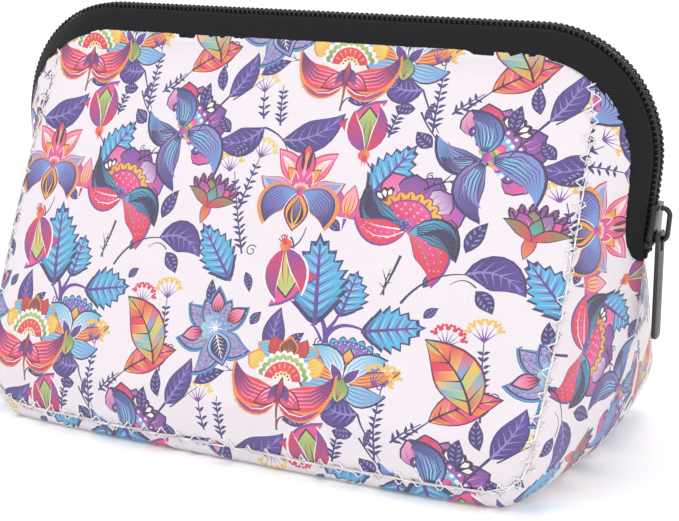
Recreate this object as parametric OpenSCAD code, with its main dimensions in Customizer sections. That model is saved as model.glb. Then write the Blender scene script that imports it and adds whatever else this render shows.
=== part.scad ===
// Soft makeup bag: two printed foam-knit panels, one gusset strip round the
// base and sides, and a coil zip that runs up one side, over the top and down
// the other. Front is -Y, the slider is on the +X side, the base stands on z = 0.

/* [Bag] */
// Height over the top of the zip
bag_h = 150; // [120:1:190]
// Width over the zips at the foot of the top corners
bag_w = 255; // [225:1:320]
// Depth at the base, front to back
bag_d = 124; // [90:1:150]
// Radius of the zip line round each top corner
corner_r = 41; // [30:1:48]
// How far the flat underside is set in from the widest part, on each side
base_in_x = 30; // [20:0.5:35]
// How far the flat underside is set in from the front and back
base_in_y = 4; // [3:0.5:10]
// Height of the rounded lower edge
edge_h = 9; // [6:1:18]
// Thickness of the foam-knit cloth
wall = 3; // [2:0.1:4]
// How far the front and back stand out beyond their side seams
belly = 4; // [0:0.5:8]

/* [Seams] */
// How far the foot of each side seam is set in from the widest part
seam_in = 19; // [14:0.5:24]
// How far the side seams bow outward between foot and top
seam_bow = 2.5; // [0:0.5:5]
// Height at which the side seams start to turn under
seam_foot_z = 23; // [16:1:30]
// Angle round the top corner at which the side seam meets the zip tape
seam_join = 50; // [44:1:58]

/* [Zip] */
// Width of the closed zip chain
chain_w = 6; // [5:0.1:7]
// Thickness of the zip chain
chain_t = 2.6; // [2:0.1:3.2]
// Gap down the middle of the chain, for the slider's divider
chain_gap = 1.2; // [1:0.1:1.6]
// Visible width of the tape beside the chain
tape_w = 9; // [7:0.5:12]
// Thickness of the tape
tape_t = 0.6; // [0.4:0.1:0.8]
// Straight length of zip at each end, before the top corner
run = 31.5; // [28:0.5:36]
// Lean of the straight run away from upright, in degrees
lean = 4.4; // [0:0.1:8]
// Length over which the tape narrows to a point at each end
point_len = 18; // [12:1:24]

/* [Slider] */
// Length of the slider body
slider_len = 13.5; // [11:0.5:15]
// Width of the slider body at its nose
slider_w = 9.6; // [8.6:0.1:10.2]
// Thickness of each slider plate
plate_t = 1.3; // [1:0.1:1.6]
// Gap all round between the chain and the slider's channel
channel_gap = 0.3; // [0.2:0.05:0.4]
// Diameter of the bail's bar
bail_d = 1.7; // [1.4:0.1:1.9]
// Distance from the end of the zip to the slider's middle, zip closed
slider_rest = 13.4; // [13:0.1:16]

/* [Pull] */
// Length of the pull tab
pull_len = 36; // [25:1:45]
// Width of the pull tab
pull_w = 6; // [5.5:0.1:8]
// Thickness of the pull tab
pull_t = 1.4; // [1.2:0.1:1.6]
// Length of the slot that hangs on the bail
slot_len = 5.2; // [5:0.1:6]
// Play between the slot and the bail, on each side
slot_play = 0.45; // [0.3:0.05:0.6]

/* [Hidden] */

cloth = "#efe9e6";
black = "#1e1d20";

// Top corner: the zip line turns round this centre
zip_h = bag_h - chain_t / 2;
corner_x = bag_w / 2 - chain_t / 2 - corner_r;
corner_z = zip_h - corner_r;
// Tilt of the tape out of the front-to-back direction, on the sides and on top
side_tilt = 27;
top_tilt = 54;
// Ends of the straight run: the top meets the corner arc, the foot is the zip's end
run_dir = [sin(lean), 0, cos(lean)];
run_top = [corner_x + corner_r * cos(lean), 0, corner_z - corner_r * sin(lean)];
run_foot = run_top - run * run_dir;
// The tape starts this far up the run, where it is already wider than the chain
tape_start = 1.6;
// Share of the tape that lies flat beside the chain, clear of the slider
tape_flat = 0.24;
// Half the flat underside, and how far its corners are cut back
base_half = [bag_w / 2 - base_in_x, bag_d / 2 - base_in_y];
corner_cut = 4;
seam_foot_x = bag_w / 2 - seam_in;
// Inner core that the cloth's thickness points at: half length, half depth, foot and top
core = [base_half.x, bag_d / 2 - 22, 15, zip_h - 30];
// How square the front is across its width: at the base and above the rounded edge
crown_base = 8;
crown_wall = 2.4;
// The front's belly has run out this far below the zip line
belly_end = 6;
// Pull of the side's curve: down from the zip's end, and outward from the base
side_drop = 44;
side_out = 21;
// Gap between the tape and the chain, so that the two do not share a face
root_gap = 0.05;

rows_edge = 4;
rows_seam = 9;
rows_corner = 5;
cols_panel = 16;
cols_side = 5;
rows_side = 8;
rows_horn = 9;
steps_run = 10;
steps_corner = 12;
steps_coil = 16;

function lerp(a, b, t) = a + (b - a) * t;
function clamp(v, low, high) = min(max(v, low), high);
function mirror_x(points) = [for (p = points) [-p.x, p.y, p.z]];
function mirror_y(points) = [for (p = points) [p.x, -p.y, p.z]];
function reversed(list) = [for (i = [len(list) - 1:-1:0]) list[i]];

// ---- Zip line: s is the distance up the straight run, a the angle round the corner
function zip_tilt(a) = lerp(side_tilt, top_tilt, clamp((a + lean) / (90 + lean), 0, 1));
function taper(s) = s >= point_len ? 1 : sqrt(1 - pow(1 - s / point_len, 2));
function run_point(s) = run_foot + s * run_dir;
function corner_point(a, r = corner_r) = [corner_x + r * cos(a), 0, corner_z + r * sin(a)];
// Tape edge beside the straight run and beside the corner
function run_edge(s) =
    run_point(s) + taper(s) * [-tape_w * sin(side_tilt), -chain_w / 2 - tape_w * cos(side_tilt), 0];
function corner_edge(a) =
    corner_point(a, corner_r - tape_w * sin(zip_tilt(a)))
    - [0, chain_w / 2 + tape_w * cos(zip_tilt(a)), 0];

// ---- Seam between the front panel and the gusset
seam_top = corner_edge(seam_join);
foot_y = bag_d / 2 - 2;
function seam_turn(z) = sqrt(1 - pow(1 - min(z / seam_foot_z, 1), 2));
function edge_turn(z) = sqrt(1 - pow(1 - min(z / edge_h, 1), 2));
function seam_x(z) =
    z < seam_foot_z ? lerp(base_half.x - corner_cut, seam_foot_x, seam_turn(z))
    : let (t = (z - seam_foot_z) / (seam_top.z - seam_foot_z))
        lerp(seam_foot_x, seam_top.x, t) + seam_bow * sin(180 * t);
function seam_y(z) =
    z < seam_foot_z ? lerp(base_half.y - corner_cut, foot_y, edge_turn(z))
    : lerp(foot_y, -seam_top.y, (z - seam_foot_z) / (seam_top.z - seam_foot_z));
function seam_point(z) = [seam_x(z), -seam_y(z), z];

// ---- Front panel: level rows from seam to seam, then from tape edge to tape edge
function panel_rise(z) = clamp(z / edge_h, 0, 1);
function panel_belly(z) =
    lerp(corner_cut, belly, panel_rise(z)) * (z < edge_h ? 1 : cos(90 * pow(z / (zip_h - belly_end), 2)));
function panel_row(end, z) = [
    for (i = [-cols_panel:2:cols_panel])
        let (u = i / cols_panel, crown = 1 - pow(abs(u), lerp(crown_base, crown_wall, panel_rise(z))))
        [u * end.x, end.y - panel_belly(z) * crown, end.z]];
panel_heights = concat(
    [for (i = [0:rows_edge - 1]) seam_foot_z * (1 - cos(90 * i / rows_edge))],
    [for (i = [0:rows_seam]) lerp(seam_foot_z, seam_top.z, i / rows_seam)]);
panel_rows = concat(
    [for (z = panel_heights) panel_row(seam_point(z), z)],
    [for (i = [1:rows_corner])
        let (end = corner_edge(lerp(seam_join, 90, i / rows_corner)))
        panel_row(end, end.z)]);

// ---- Gusset side: rows from the front seam to the middle of the side
side_foot = [base_half.x, 0, 0];
side_pull = [run_foot - side_drop * run_dir, [base_half.x + side_out, 0, 0]];
function side_line(t) =
    pow(1 - t, 3) * side_foot + 3 * pow(1 - t, 2) * t * side_pull[1]
    + 3 * (1 - t) * t * t * side_pull[0] + pow(t, 3) * run_foot;
// The side is boxy at the base and runs straight to a ridge at the end of the zip
function side_row(front, middle, straight) = [
    for (i = [0:cols_side])
        let (a = 90 * i / cols_side)
        let (box = [lerp(front.x, middle.x, sqrt(sin(a))), front.y * cos(a), lerp(front.z, middle.z, sin(a))])
        lerp(box, lerp(front, middle, i / cols_side), straight)];
side_rows = [
    for (i = [0:rows_side])
        let (m = side_line(i / rows_side))
        side_row(seam_point(m.z), m, i / rows_side)];
// Above the zip's end the gusset is a horn on each side of the tape
horn_edges = concat(
    [for (i = [1:rows_horn]) run_edge(run * i / rows_horn)],
    [for (i = [1:rows_horn]) corner_edge(lerp(-lean, seam_join - 3, i / rows_horn))]);
horn_rows = [
    for (e = horn_edges)
        let (front = seam_point(e.z))
        [for (i = [0:cols_side]) lerp(front, e, i / cols_side)]];
gusset_front = concat(side_rows, horn_rows);

// ---- Cloth solids
// Inward direction: toward the nearest point of a core that narrows with height
function inward(p) =
    let (half_y = core[1] * max(1 - p.z / zip_h, 0))
    let (c = [clamp(p.x, -core[0], core[0]), clamp(p.y, -half_y, half_y), clamp(p.z, core[2], core[3])])
    (c - p) / norm(c - p);
// The lowest row stands on the edge of the flat underside, so it is cut square
function inner_rows(rows, t, square_foot = true) = [
    for (r = [0:len(rows) - 1])
        [for (p = rows[r]) p + t * (square_foot && r == 0 ? [0, 0, 1] : inward(p))]];
function flat(rows) = [for (row = rows) each row];

// A sheet of cloth between an outer and an inner grid of points
module sheet(outer, inner) {
    n = len(outer[0]);
    m = len(outer);
    total = m * n;
    function at(r, c, side) = side * total + r * n + c;
    skin = [for (r = [0:m - 2], c = [0:n - 2])
        [at(r, c, 0), at(r + 1, c, 0), at(r + 1, c + 1, 0), at(r, c + 1, 0)]];
    lining = [for (r = [0:m - 2], c = [0:n - 2])
        [at(r, c, 1), at(r, c + 1, 1), at(r + 1, c + 1, 1), at(r + 1, c, 1)]];
    ends = [for (c = [0:n - 2]) each [
        [at(0, c, 0), at(0, c + 1, 0), at(0, c + 1, 1), at(0, c, 1)],
        [at(m - 1, c, 0), at(m - 1, c, 1), at(m - 1, c + 1, 1), at(m - 1, c + 1, 0)]]];
    edges = [for (r = [0:m - 2]) each [
        [at(r, 0, 0), at(r, 0, 1), at(r + 1, 0, 1), at(r + 1, 0, 0)],
        [at(r, n - 1, 0), at(r + 1, n - 1, 0), at(r + 1, n - 1, 1), at(r, n - 1, 1)]]];
    split = [for (f = concat(skin, lining, ends, edges)) each [[f[0], f[1], f[2]], [f[0], f[2], f[3]]]];
    polyhedron(concat(flat(outer), flat(inner)), split, convexity = 6);
}

// One side of the gusset: both halves share the middle line up to the zip's end,
// and above it they are two horns with the tape between them
module side_gusset() {
    half_n = cols_side + 1;
    n = 2 * half_n;
    m = len(gusset_front);
    fork = rows_side;
    outer = [for (row = gusset_front) concat(row, reversed(mirror_y(row)))];
    inner = inner_rows(outer, wall);
    total = m * n;
    function at(r, c, side) = side * total + r * n + (c == half_n && r <= fork ? half_n - 1 : c);
    cells = [for (r = [0:m - 2], c = [0:n - 2]) if (c != half_n - 1) [r, c]];
    skin = [for (k = cells)
        [at(k[0], k[1], 0), at(k[0], k[1] + 1, 0), at(k[0] + 1, k[1] + 1, 0), at(k[0] + 1, k[1], 0)]];
    lining = [for (k = cells)
        [at(k[0], k[1], 1), at(k[0] + 1, k[1], 1), at(k[0] + 1, k[1] + 1, 1), at(k[0], k[1] + 1, 1)]];
    ends = [for (c = [0:n - 2]) if (c != half_n - 1) each [
        [at(0, c, 0), at(0, c, 1), at(0, c + 1, 1), at(0, c + 1, 0)],
        [at(m - 1, c, 0), at(m - 1, c + 1, 0), at(m - 1, c + 1, 1), at(m - 1, c, 1)]]];
    edges = [for (r = [0:m - 2]) each [
        [at(r, 0, 0), at(r + 1, 0, 0), at(r + 1, 0, 1), at(r, 0, 1)],
        [at(r, n - 1, 0), at(r, n - 1, 1), at(r + 1, n - 1, 1), at(r + 1, n - 1, 0)]]];
    notch = [for (r = [fork:m - 2]) each [
        [at(r, half_n - 1, 0), at(r, half_n - 1, 1), at(r + 1, half_n - 1, 1), at(r + 1, half_n - 1, 0)],
        [at(r, half_n, 0), at(r + 1, half_n, 0), at(r + 1, half_n, 1), at(r, half_n, 1)]]];
    split = [for (f = concat(skin, lining, ends, edges, notch)) each [[f[0], f[1], f[2]], [f[0], f[2], f[3]]]];
    polyhedron(concat(flat(outer), flat(inner)), split, convexity = 8);
}

module front_panel() {
    color(cloth) sheet(panel_rows, inner_rows(panel_rows, wall));
}

module back_panel() {
    color(cloth) mirror([0, 1, 0]) front_panel();
}

// Flat underside, cut to the feet of the panels and the side gussets
module base_gusset() {
    front = panel_rows[0];
    side = side_rows[0];
    half = concat(front, [for (i = [1:cols_side - 1]) side[i]], [side[cols_side]]);
    back = mirror_y(reversed([for (i = [1:cols_side - 1]) side[i]]));
    right = concat(half, back);
    outline = concat(right, [for (p = right) [-p.x, -p.y]]);
    color(cloth) linear_extrude(wall) polygon([for (p = outline) [p.x, p.y]]);
}

module right_gusset() {
    color(cloth) side_gusset();
}

module left_gusset() {
    color(cloth) mirror([1, 0, 0]) side_gusset();
}

// ---- Zip tape: flat beside the chain, then sloping to its edge
function tape_row(middle, edge) =
    let (root = chain_w / 2 + root_gap, bend = lerp(root, -edge.y, tape_flat))
    [middle - [0, root, 0], middle - [0, bend, 0], edge];
tape_right = concat(
    [for (i = [0:steps_run - 1])
        let (s = lerp(tape_start, run, i / steps_run)) tape_row(run_point(s), run_edge(s))],
    [for (i = [0:steps_corner])
        let (a = lerp(-lean, 90, i / steps_corner)) tape_row(corner_point(a), corner_edge(a))]);
tape_rows = concat(tape_right, reversed([for (row = tape_right) mirror_x(row)]));

module front_zip_tape() {
    color(black) sheet([for (row = tape_rows) reversed(row)],
        [for (row = inner_rows(tape_rows, tape_t, false)) reversed(row)]);
}

module back_zip_tape() {
    mirror([0, 1, 0]) front_zip_tape();
}

// ---- Zip coil: half of the chain, along the whole zip line
coil_start = 7;
function coil_line(r) = concat(
    [run_point(coil_start) + r * [cos(lean), 0, -sin(lean)]],
    [for (i = [0:steps_coil]) corner_point(lerp(-lean, 90, i / steps_coil), corner_r + r)]);
module coil_half() {
    side = coil_line(chain_t / 2);
    inside = coil_line(-chain_t / 2);
    loop = concat(side, reversed(mirror_x(side)), mirror_x(inside), reversed(inside));
    rotate([90, 0, 0])
        translate([0, 0, chain_gap / 2])
            linear_extrude((chain_w - chain_gap) / 2)
                polygon([for (p = loop) [p.x, p.z]]);
}

module front_zip_coil() {
    color(black) coil_half();
}

module back_zip_coil() {
    color(black) mirror([0, 1, 0]) coil_half();
}

// Frame on the straight run: +X outward, +Z up the run, s from the zip's end
module on_run(s) {
    translate(run_point(s)) rotate([0, lean, 0]) children();
}

stop_len = 2.2;
// A crimp stands a little proud of the chain and just clear of the coil's end
stop_t = chain_t + 0.6;
stop_body = stop_len - 0.02;
coil_w = (chain_w - chain_gap) / 2;
// Two crimps, one on each coil, where the slider stops with the zip closed
module closed_end_stops() {
    color(black)
        on_run(coil_start - stop_len / 2)
            for (y = [-1, 1])
                translate([0, y * (chain_gap + coil_w) / 2, 0])
                    cube([stop_t, coil_w, stop_body], center = true);
}

// One clamp over both coils at the other end of the zip
module open_end_stop() {
    color(black)
        mirror([1, 0, 0])
            on_run(coil_start - stop_len / 2)
                cube([stop_t, chain_w, stop_body], center = true);
}

// ---- Slider: frame on the run, nose down
channel_w = chain_w + 2 * channel_gap;
channel_t = chain_t + 2 * channel_gap;
slider_t = channel_t + 2 * plate_t;
// The tail is narrower than the nose, and the nose's corners are cut back
tail_w = slider_w - 1.2;
nose_cut = 1.5;
divider_t = chain_gap - 0.5;
// How far the divider runs into each plate, and how far it starts from the nose
divider_root = 0.1;
divider_in = 0.6;
// The lips of the plates stand clear of the tape by the channel's gap
slot_t = 2 * (tape_t + channel_gap);
// The bail turns round the pull's hinge, clear of the pull's round end
bail_play = 0.9;
pull_play = 0.5;
bail_r = (bail_d + pull_t) / 2 + bail_play;
hinge_x = (slider_t + pull_t) / 2 + pull_play;
// The bail is set in from the slider's nose and tail, and open where it meets the tail
bail_nose_in = 0.3;
bail_tail_in = 0.5;
bail_mouth = 0.5;
hinge_z = bail_r + bail_d / 2 - slider_len / 2 + bail_nose_in;
bail_top = slider_len / 2 - bail_r - bail_d / 2 - bail_tail_in;

module bail_bend(from) {
    rotate([-90, 0, 0])
        rotate([0, 0, from])
            rotate_extrude(angle = 90, $fn = 48)
                translate([bail_r, 0]) circle(d = bail_d, $fn = 24);
}

module bail() {
    root = hinge_x - slider_t / 2 + plate_t / 2;
    translate([hinge_x, 0, hinge_z]) {
        bail_bend(0);
        translate([-root, 0, -bail_r]) rotate([0, 90, 0]) cylinder(h = root, d = bail_d, $fn = 24);
        translate([bail_r, 0, 0]) cylinder(h = bail_top - hinge_z, d = bail_d, $fn = 24);
    }
    translate([hinge_x, 0, bail_top]) {
        bail_bend(-90);
        reach = hinge_x - slider_t / 2 - bail_mouth;
        translate([-reach, 0, bail_r]) rotate([0, 90, 0]) cylinder(h = reach, d = bail_d, $fn = 24);
    }
}

module slider_body() {
    color(black)
        on_run(slider_rest) {
            difference() {
                rotate([90, 0, 90])
                    translate([0, 0, -slider_t / 2])
                        linear_extrude(slider_t)
                            polygon([
                                [-tail_w / 2, slider_len / 2], [-tail_w / 2, 0],
                                [-slider_w / 2, -slider_len / 4], [-slider_w / 2, nose_cut - slider_len / 2],
                                [nose_cut - slider_w / 2, -slider_len / 2], [slider_w / 2 - nose_cut, -slider_len / 2],
                                [slider_w / 2, nose_cut - slider_len / 2], [slider_w / 2, -slider_len / 4],
                                [tail_w / 2, 0], [tail_w / 2, slider_len / 2]]);
                cube([channel_t, channel_w, slider_len + 1], center = true);
                cube([slot_t, slider_w + 1, slider_len + 1], center = true);
            }
            translate([-channel_t / 2 - divider_root, -divider_t / 2, divider_in - slider_len / 2])
                cube([channel_t + 2 * divider_root, divider_t, slider_len / 3]);
            bail();
        }
}

// Pull tab: hangs upright from the bail, with a round bar over its slot
module pull_tab() {
    round_bar = pull_t;
    slot_w = bail_d + 2 * slot_play;
    tip_cut = 1.2;
    color(black)
        on_run(slider_rest)
            translate([hinge_x, 0, hinge_z])
                rotate([0, -lean, 0])
                    difference() {
                        union() {
                            rotate([90, 0, 0]) cylinder(h = pull_w, d = round_bar, center = true, $fn = 32);
                            rotate([90, 0, 90])
                                translate([0, 0, -pull_t / 2])
                                    linear_extrude(pull_t)
                                        polygon([
                                            [-pull_w / 2, 0], [-pull_w / 2, tip_cut - pull_len],
                                            [tip_cut - pull_w / 2, -pull_len], [pull_w / 2 - tip_cut, -pull_len],
                                            [pull_w / 2, tip_cut - pull_len], [pull_w / 2, 0]]);
                        }
                        translate([-pull_t, -slot_w / 2, -slot_len - round_bar / 2])
                            cube([2 * pull_t, slot_w, slot_len]);
                    }
}

front_panel();
back_panel();
base_gusset();
right_gusset();
left_gusset();
front_zip_tape();
back_zip_tape();
front_zip_coil();
back_zip_coil();
closed_end_stops();
open_end_stop();
slider_body();
pull_tab();
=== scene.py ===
"""Makeup bag in printed foam knit with a black coil zip: the looks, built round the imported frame.

Lengths are in millimetres until a mesh is made; mesh_object() turns them into metres.
"""

import math
import random

import bpy
import numpy as np
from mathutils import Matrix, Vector
from mathutils.geometry import delaunay_2d_cdt


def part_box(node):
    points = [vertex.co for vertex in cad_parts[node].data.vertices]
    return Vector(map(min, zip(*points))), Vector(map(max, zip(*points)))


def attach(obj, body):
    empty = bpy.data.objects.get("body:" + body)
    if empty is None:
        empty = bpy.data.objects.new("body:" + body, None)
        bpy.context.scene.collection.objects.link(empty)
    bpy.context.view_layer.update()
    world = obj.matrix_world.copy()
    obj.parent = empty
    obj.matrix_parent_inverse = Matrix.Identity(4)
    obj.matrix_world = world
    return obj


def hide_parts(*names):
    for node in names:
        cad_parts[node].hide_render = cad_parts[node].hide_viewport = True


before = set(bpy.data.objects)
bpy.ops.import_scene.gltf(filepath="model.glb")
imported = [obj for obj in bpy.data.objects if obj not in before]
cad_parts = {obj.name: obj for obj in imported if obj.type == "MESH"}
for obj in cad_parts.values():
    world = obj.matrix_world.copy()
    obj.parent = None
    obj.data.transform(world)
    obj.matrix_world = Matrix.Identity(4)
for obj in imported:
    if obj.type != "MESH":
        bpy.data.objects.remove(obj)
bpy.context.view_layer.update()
MM = 0.001


def node_mm(node):
    low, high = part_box(node)
    return np.array(low) / MM, np.array(high) / MM


# ---------------------------------------------------------------- camera and stage

CAMERA_AZIMUTH, CAMERA_ELEVATION = 27.9, 13.8
CAMERA_DISTANCE, CAMERA_LENS = 0.5936, 85.8
CAMERA_TARGET = Vector((0.0088, 0.0, 0.0600))


def make_camera():
    azimuth, elevation = math.radians(CAMERA_AZIMUTH), math.radians(CAMERA_ELEVATION)
    back = Vector((math.sin(azimuth) * math.cos(elevation),
                   -math.cos(azimuth) * math.cos(elevation), math.sin(elevation)))
    camera = bpy.data.objects.new("camera", bpy.data.cameras.new("camera"))
    camera.data.lens = CAMERA_LENS
    camera.data.clip_start, camera.data.clip_end = 0.01, 20
    camera.location = CAMERA_TARGET + back * CAMERA_DISTANCE
    camera.rotation_mode = "QUATERNION"
    camera.rotation_quaternion = (-back).to_track_quat("-Z", "Y")
    bpy.context.collection.objects.link(camera)
    bpy.context.scene.camera = camera


def area_light(name, place, aim, size, power):
    light = bpy.data.lights.new(name, "AREA")
    light.shape, light.size, light.energy = "DISK", size, power
    lamp = bpy.data.objects.new(name, light)
    lamp.location = place
    lamp.rotation_mode = "QUATERNION"
    lamp.rotation_quaternion = (Vector(aim) - Vector(place)).to_track_quat("-Z", "Y")
    bpy.context.collection.objects.link(lamp)


# ---------------------------------------------------------------- materials

def srgb(code):
    """Linear red, green and blue of an sRGB colour such as "#e6305c"."""
    parts = [int(code[i:i + 2], 16) / 255 for i in (1, 3, 5)]
    return tuple(c / 12.92 if c <= 0.04045 else ((c + 0.055) / 1.055) ** 2.4 for c in parts)


class Nodes:
    """A material's node tree, with one call that adds a node, its settings and its links."""

    def __init__(self, name):
        self.material = bpy.data.materials.new(name)
        self.material.use_nodes = True
        self.tree = self.material.node_tree
        self.shader = self.tree.nodes["Principled BSDF"]

    def add(self, kind, settings=None, **inputs):
        node = self.tree.nodes.new(kind)
        for key, value in (settings or {}).items():
            setattr(node, key, value)
        for key, value in inputs.items():
            self.put(node, key, value)
        return node

    def put(self, node, key, value):
        """Sets or links one input, named by its label (spaces as _) or, as i0, i1, by its place."""
        place = int(key[1:]) if key[0] == "i" and key[1:].isdigit() else key.replace("_", " ")
        socket = node.inputs[place]
        if isinstance(value, bpy.types.NodeSocket):
            self.tree.links.new(value, socket)
        else:
            socket.default_value = value

    def look(self, **inputs):
        for key, value in inputs.items():
            self.put(self.shader, key, value)

    def math(self, operation, *values):
        node = self.add("ShaderNodeMath", {"operation": operation})
        for i, value in enumerate(values):
            self.put(node, f"i{i}", value)
        return node.outputs[0]

    def blend(self, factor, a, b, kind="MIX"):
        node = self.add("ShaderNodeMix", {"data_type": "RGBA", "blend_type": kind},
                        i0=factor, i6=a, i7=b)
        return node.outputs[2]

    def noise(self, scale, vector, detail=2.0):
        return self.add("ShaderNodeTexNoise", Scale=scale, Detail=detail, Vector=vector).outputs["Fac"]

    def bump(self, height, distance, strength=1.0, normal=None):
        node = self.add("ShaderNodeBump", Strength=strength, Distance=distance, Height=height)
        if normal is not None:
            self.put(node, "Normal", normal)
        return node.outputs[0]


def flat_place(nodes):
    """Metres over the cut cloth, so that knit and weave keep their real size."""
    return nodes.add("ShaderNodeAttribute", {"attribute_name": "flat_m"}).outputs["Vector"]


def rib(nodes, place, pitch, turn):
    """Fine parallel ribs of one pitch (metres), turned by an angle (degrees)."""
    spun = nodes.add("ShaderNodeMapping", Vector=place)
    spun.inputs["Rotation"].default_value = (0, 0, math.radians(turn))
    across = nodes.add("ShaderNodeSeparateXYZ", Vector=spun.outputs[0]).outputs[0]
    wave = nodes.math("SINE", nodes.math("MULTIPLY", across, 2 * math.pi / pitch))
    return nodes.math("MULTIPLY_ADD", wave, 0.5, 0.5)


def printed_knit():
    """Smooth polyester knit over foam: matt, faintly ribbed on the slant, printed ink in the yarn."""
    n = Nodes("printed_foam_knit")
    place = flat_place(n)
    ink = n.add("ShaderNodeAttribute", {"attribute_name": "print_ink"}).outputs["Color"]
    ribs = rib(n, place, 0.00062, 38)
    loops = rib(n, place, 0.00046, -52)
    grain = n.math("MULTIPLY", ribs, loops)
    speckle = n.noise(2600, place, 1.0)
    soak = n.noise(90, place, 3.0)
    worn = n.blend(n.math("MULTIPLY_ADD", speckle, 0.34, -0.06), ink, (0.80, 0.77, 0.77, 1))
    cloth = n.blend(0.10, worn, ink)
    shaded = n.blend(n.math("MULTIPLY_ADD", grain, -0.16, 0.13), cloth, (0.30, 0.27, 0.32, 1), "MULTIPLY")
    toned = n.blend(n.math("MULTIPLY_ADD", soak, 0.10, -0.03), shaded, (0.62, 0.58, 0.62, 1), "MULTIPLY")
    height = n.math("ADD", n.math("MULTIPLY", grain, 0.7), n.math("MULTIPLY", speckle, 0.3))
    n.look(Base_Color=toned, Roughness=0.82, Specular_IOR_Level=0.25, Sheen_Weight=0.25,
           Sheen_Roughness=0.5, Normal=n.bump(height, 0.00012, 0.55))
    return n.material


def woven_tape():
    """Black polyester zip tape: close twill ribs on the slant, soft grey lights along them."""
    n = Nodes("black_woven_tape")
    place = flat_place(n)
    twill = rib(n, place, 0.00085, 50)
    yarn = rib(n, place, 0.00042, 90)
    fluff = n.noise(1500, place, 2.0)
    weave = n.math("MULTIPLY_ADD", yarn, 0.35, n.math("MULTIPLY", twill, 0.65))
    tone = n.math("MULTIPLY", weave, n.math("MULTIPLY_ADD", fluff, 0.7, 0.4))
    colour = n.blend(tone, (*srgb("#0b0b0d"), 1), (*srgb("#232226"), 1))
    n.look(Base_Color=colour, Roughness=0.82, Specular_IOR_Level=0.25, Sheen_Weight=0.04,
           Normal=n.bump(weave, 0.00015, 0.8))
    return n.material


def plain_lining():
    """Inside of the foam cloth: off-white jersey, unprinted."""
    n = Nodes("white_jersey_lining")
    place = flat_place(n)
    grain = rib(n, place, 0.0009, 0)
    # the jersey is darker where the rib is low, in the grooves between the ribs: painted shade, on the same ribs as
    # the bump
    colour = n.blend(grain, (*srgb("#dedad8"), 1), (*srgb("#efece9"), 1))
    n.look(Base_Color=colour, Roughness=0.9, Normal=n.bump(grain, 0.0001, 0.5))
    return n.material


def hard_finish(name, dark, light, roughness, metallic, scale=900.0, coat=0.0):
    """Enamelled or moulded hard surface with faint mottling in its gloss."""
    n = Nodes(name)
    place = n.add("ShaderNodeTexCoord").outputs["Object"]
    mottle = n.noise(scale, place, 3.0)
    colour = n.blend(mottle, (*srgb(dark), 1), (*srgb(light), 1))
    gloss = n.math("MULTIPLY_ADD", mottle, 0.16, roughness - 0.08)
    n.look(Base_Color=colour, Roughness=gloss, Metallic=metallic, Coat_Weight=coat, Coat_Roughness=0.2,
           Normal=n.bump(mottle, 0.00003, 0.3))
    return n.material


def sewing_thread():
    """White polyester overlock thread, twisted from two plies."""
    n = Nodes("white_sewing_thread")
    place = flat_place(n)
    ply = rib(n, place, 0.0009, 35)
    # the thread is darker where the ply rib is low, in the grooves between the plies: painted shade, on the same ribs
    # as the bump
    colour = n.blend(ply, (*srgb("#dcd6d6"), 1), (*srgb("#ffffff"), 1))
    n.look(Base_Color=colour, Roughness=0.55, Sheen_Weight=0.3, Normal=n.bump(ply, 0.0001, 0.6))
    return n.material


def studio_floor():
    """Plain white paper sweep, lifted a little to the eye so that it meets the white behind it."""
    n = Nodes("white_paper_floor")
    seen = n.add("ShaderNodeLightPath").outputs["Is Camera Ray"]
    n.look(Base_Color=(0.95, 0.95, 0.95, 1), Roughness=0.95, Specular_IOR_Level=0.1,
           Emission_Color=(1, 1, 1, 1), Emission_Strength=n.math("MULTIPLY", seen, 0.16))
    return n.material


# ---------------------------------------------------------------- mesh helpers

def mesh_object(name, points, faces, material, flat=None, normals=None, body="bag", smooth=True):
    """Makes a piece from points in millimetres. flat gives each point's place on the cut cloth."""
    mesh = bpy.data.meshes.new(name)
    mesh.from_pydata((np.asarray(points, float) * MM).tolist(), [], [list(map(int, f)) for f in faces])
    mesh.materials.append(material)
    mesh.polygons.foreach_set("use_smooth", [smooth] * len(mesh.polygons))
    if flat is not None:
        place = mesh.attributes.new("flat_m", "FLOAT_VECTOR", "POINT")
        spread = np.zeros((len(points), 3))
        spread[:, :2] = np.asarray(flat) * MM
        place.data.foreach_set("vector", spread.ravel())
    if normals is not None:
        mesh.normals_split_custom_set_from_vertices(np.asarray(normals).tolist())
    piece = bpy.data.objects.new(name, mesh)
    bpy.context.collection.objects.link(piece)
    return piece


def grid_faces(rows, columns, closed=False):
    """Quads over a grid of points stored row by row; closed joins the last column to the first."""
    last = columns if closed else columns - 1
    return [(r * columns + c, r * columns + (c + 1) % columns,
             (r + 1) * columns + (c + 1) % columns, (r + 1) * columns + c)
            for r in range(rows - 1) for c in range(last)]


def along(points):
    """Distance along a line at each of its points."""
    steps = np.linalg.norm(np.diff(points, axis=0), axis=1)
    return np.concatenate([[0], np.cumsum(steps)])


def resample(points, count):
    """The same line with evenly spaced points."""
    points = np.asarray(points, float)
    run = along(points)
    at = np.linspace(0, run[-1], count)
    return np.stack([np.interp(at, run, points[:, k]) for k in range(points.shape[1])], 1)


def unit(v):
    return v / np.maximum(np.linalg.norm(v, axis=-1, keepdims=True), 1e-9)


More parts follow.
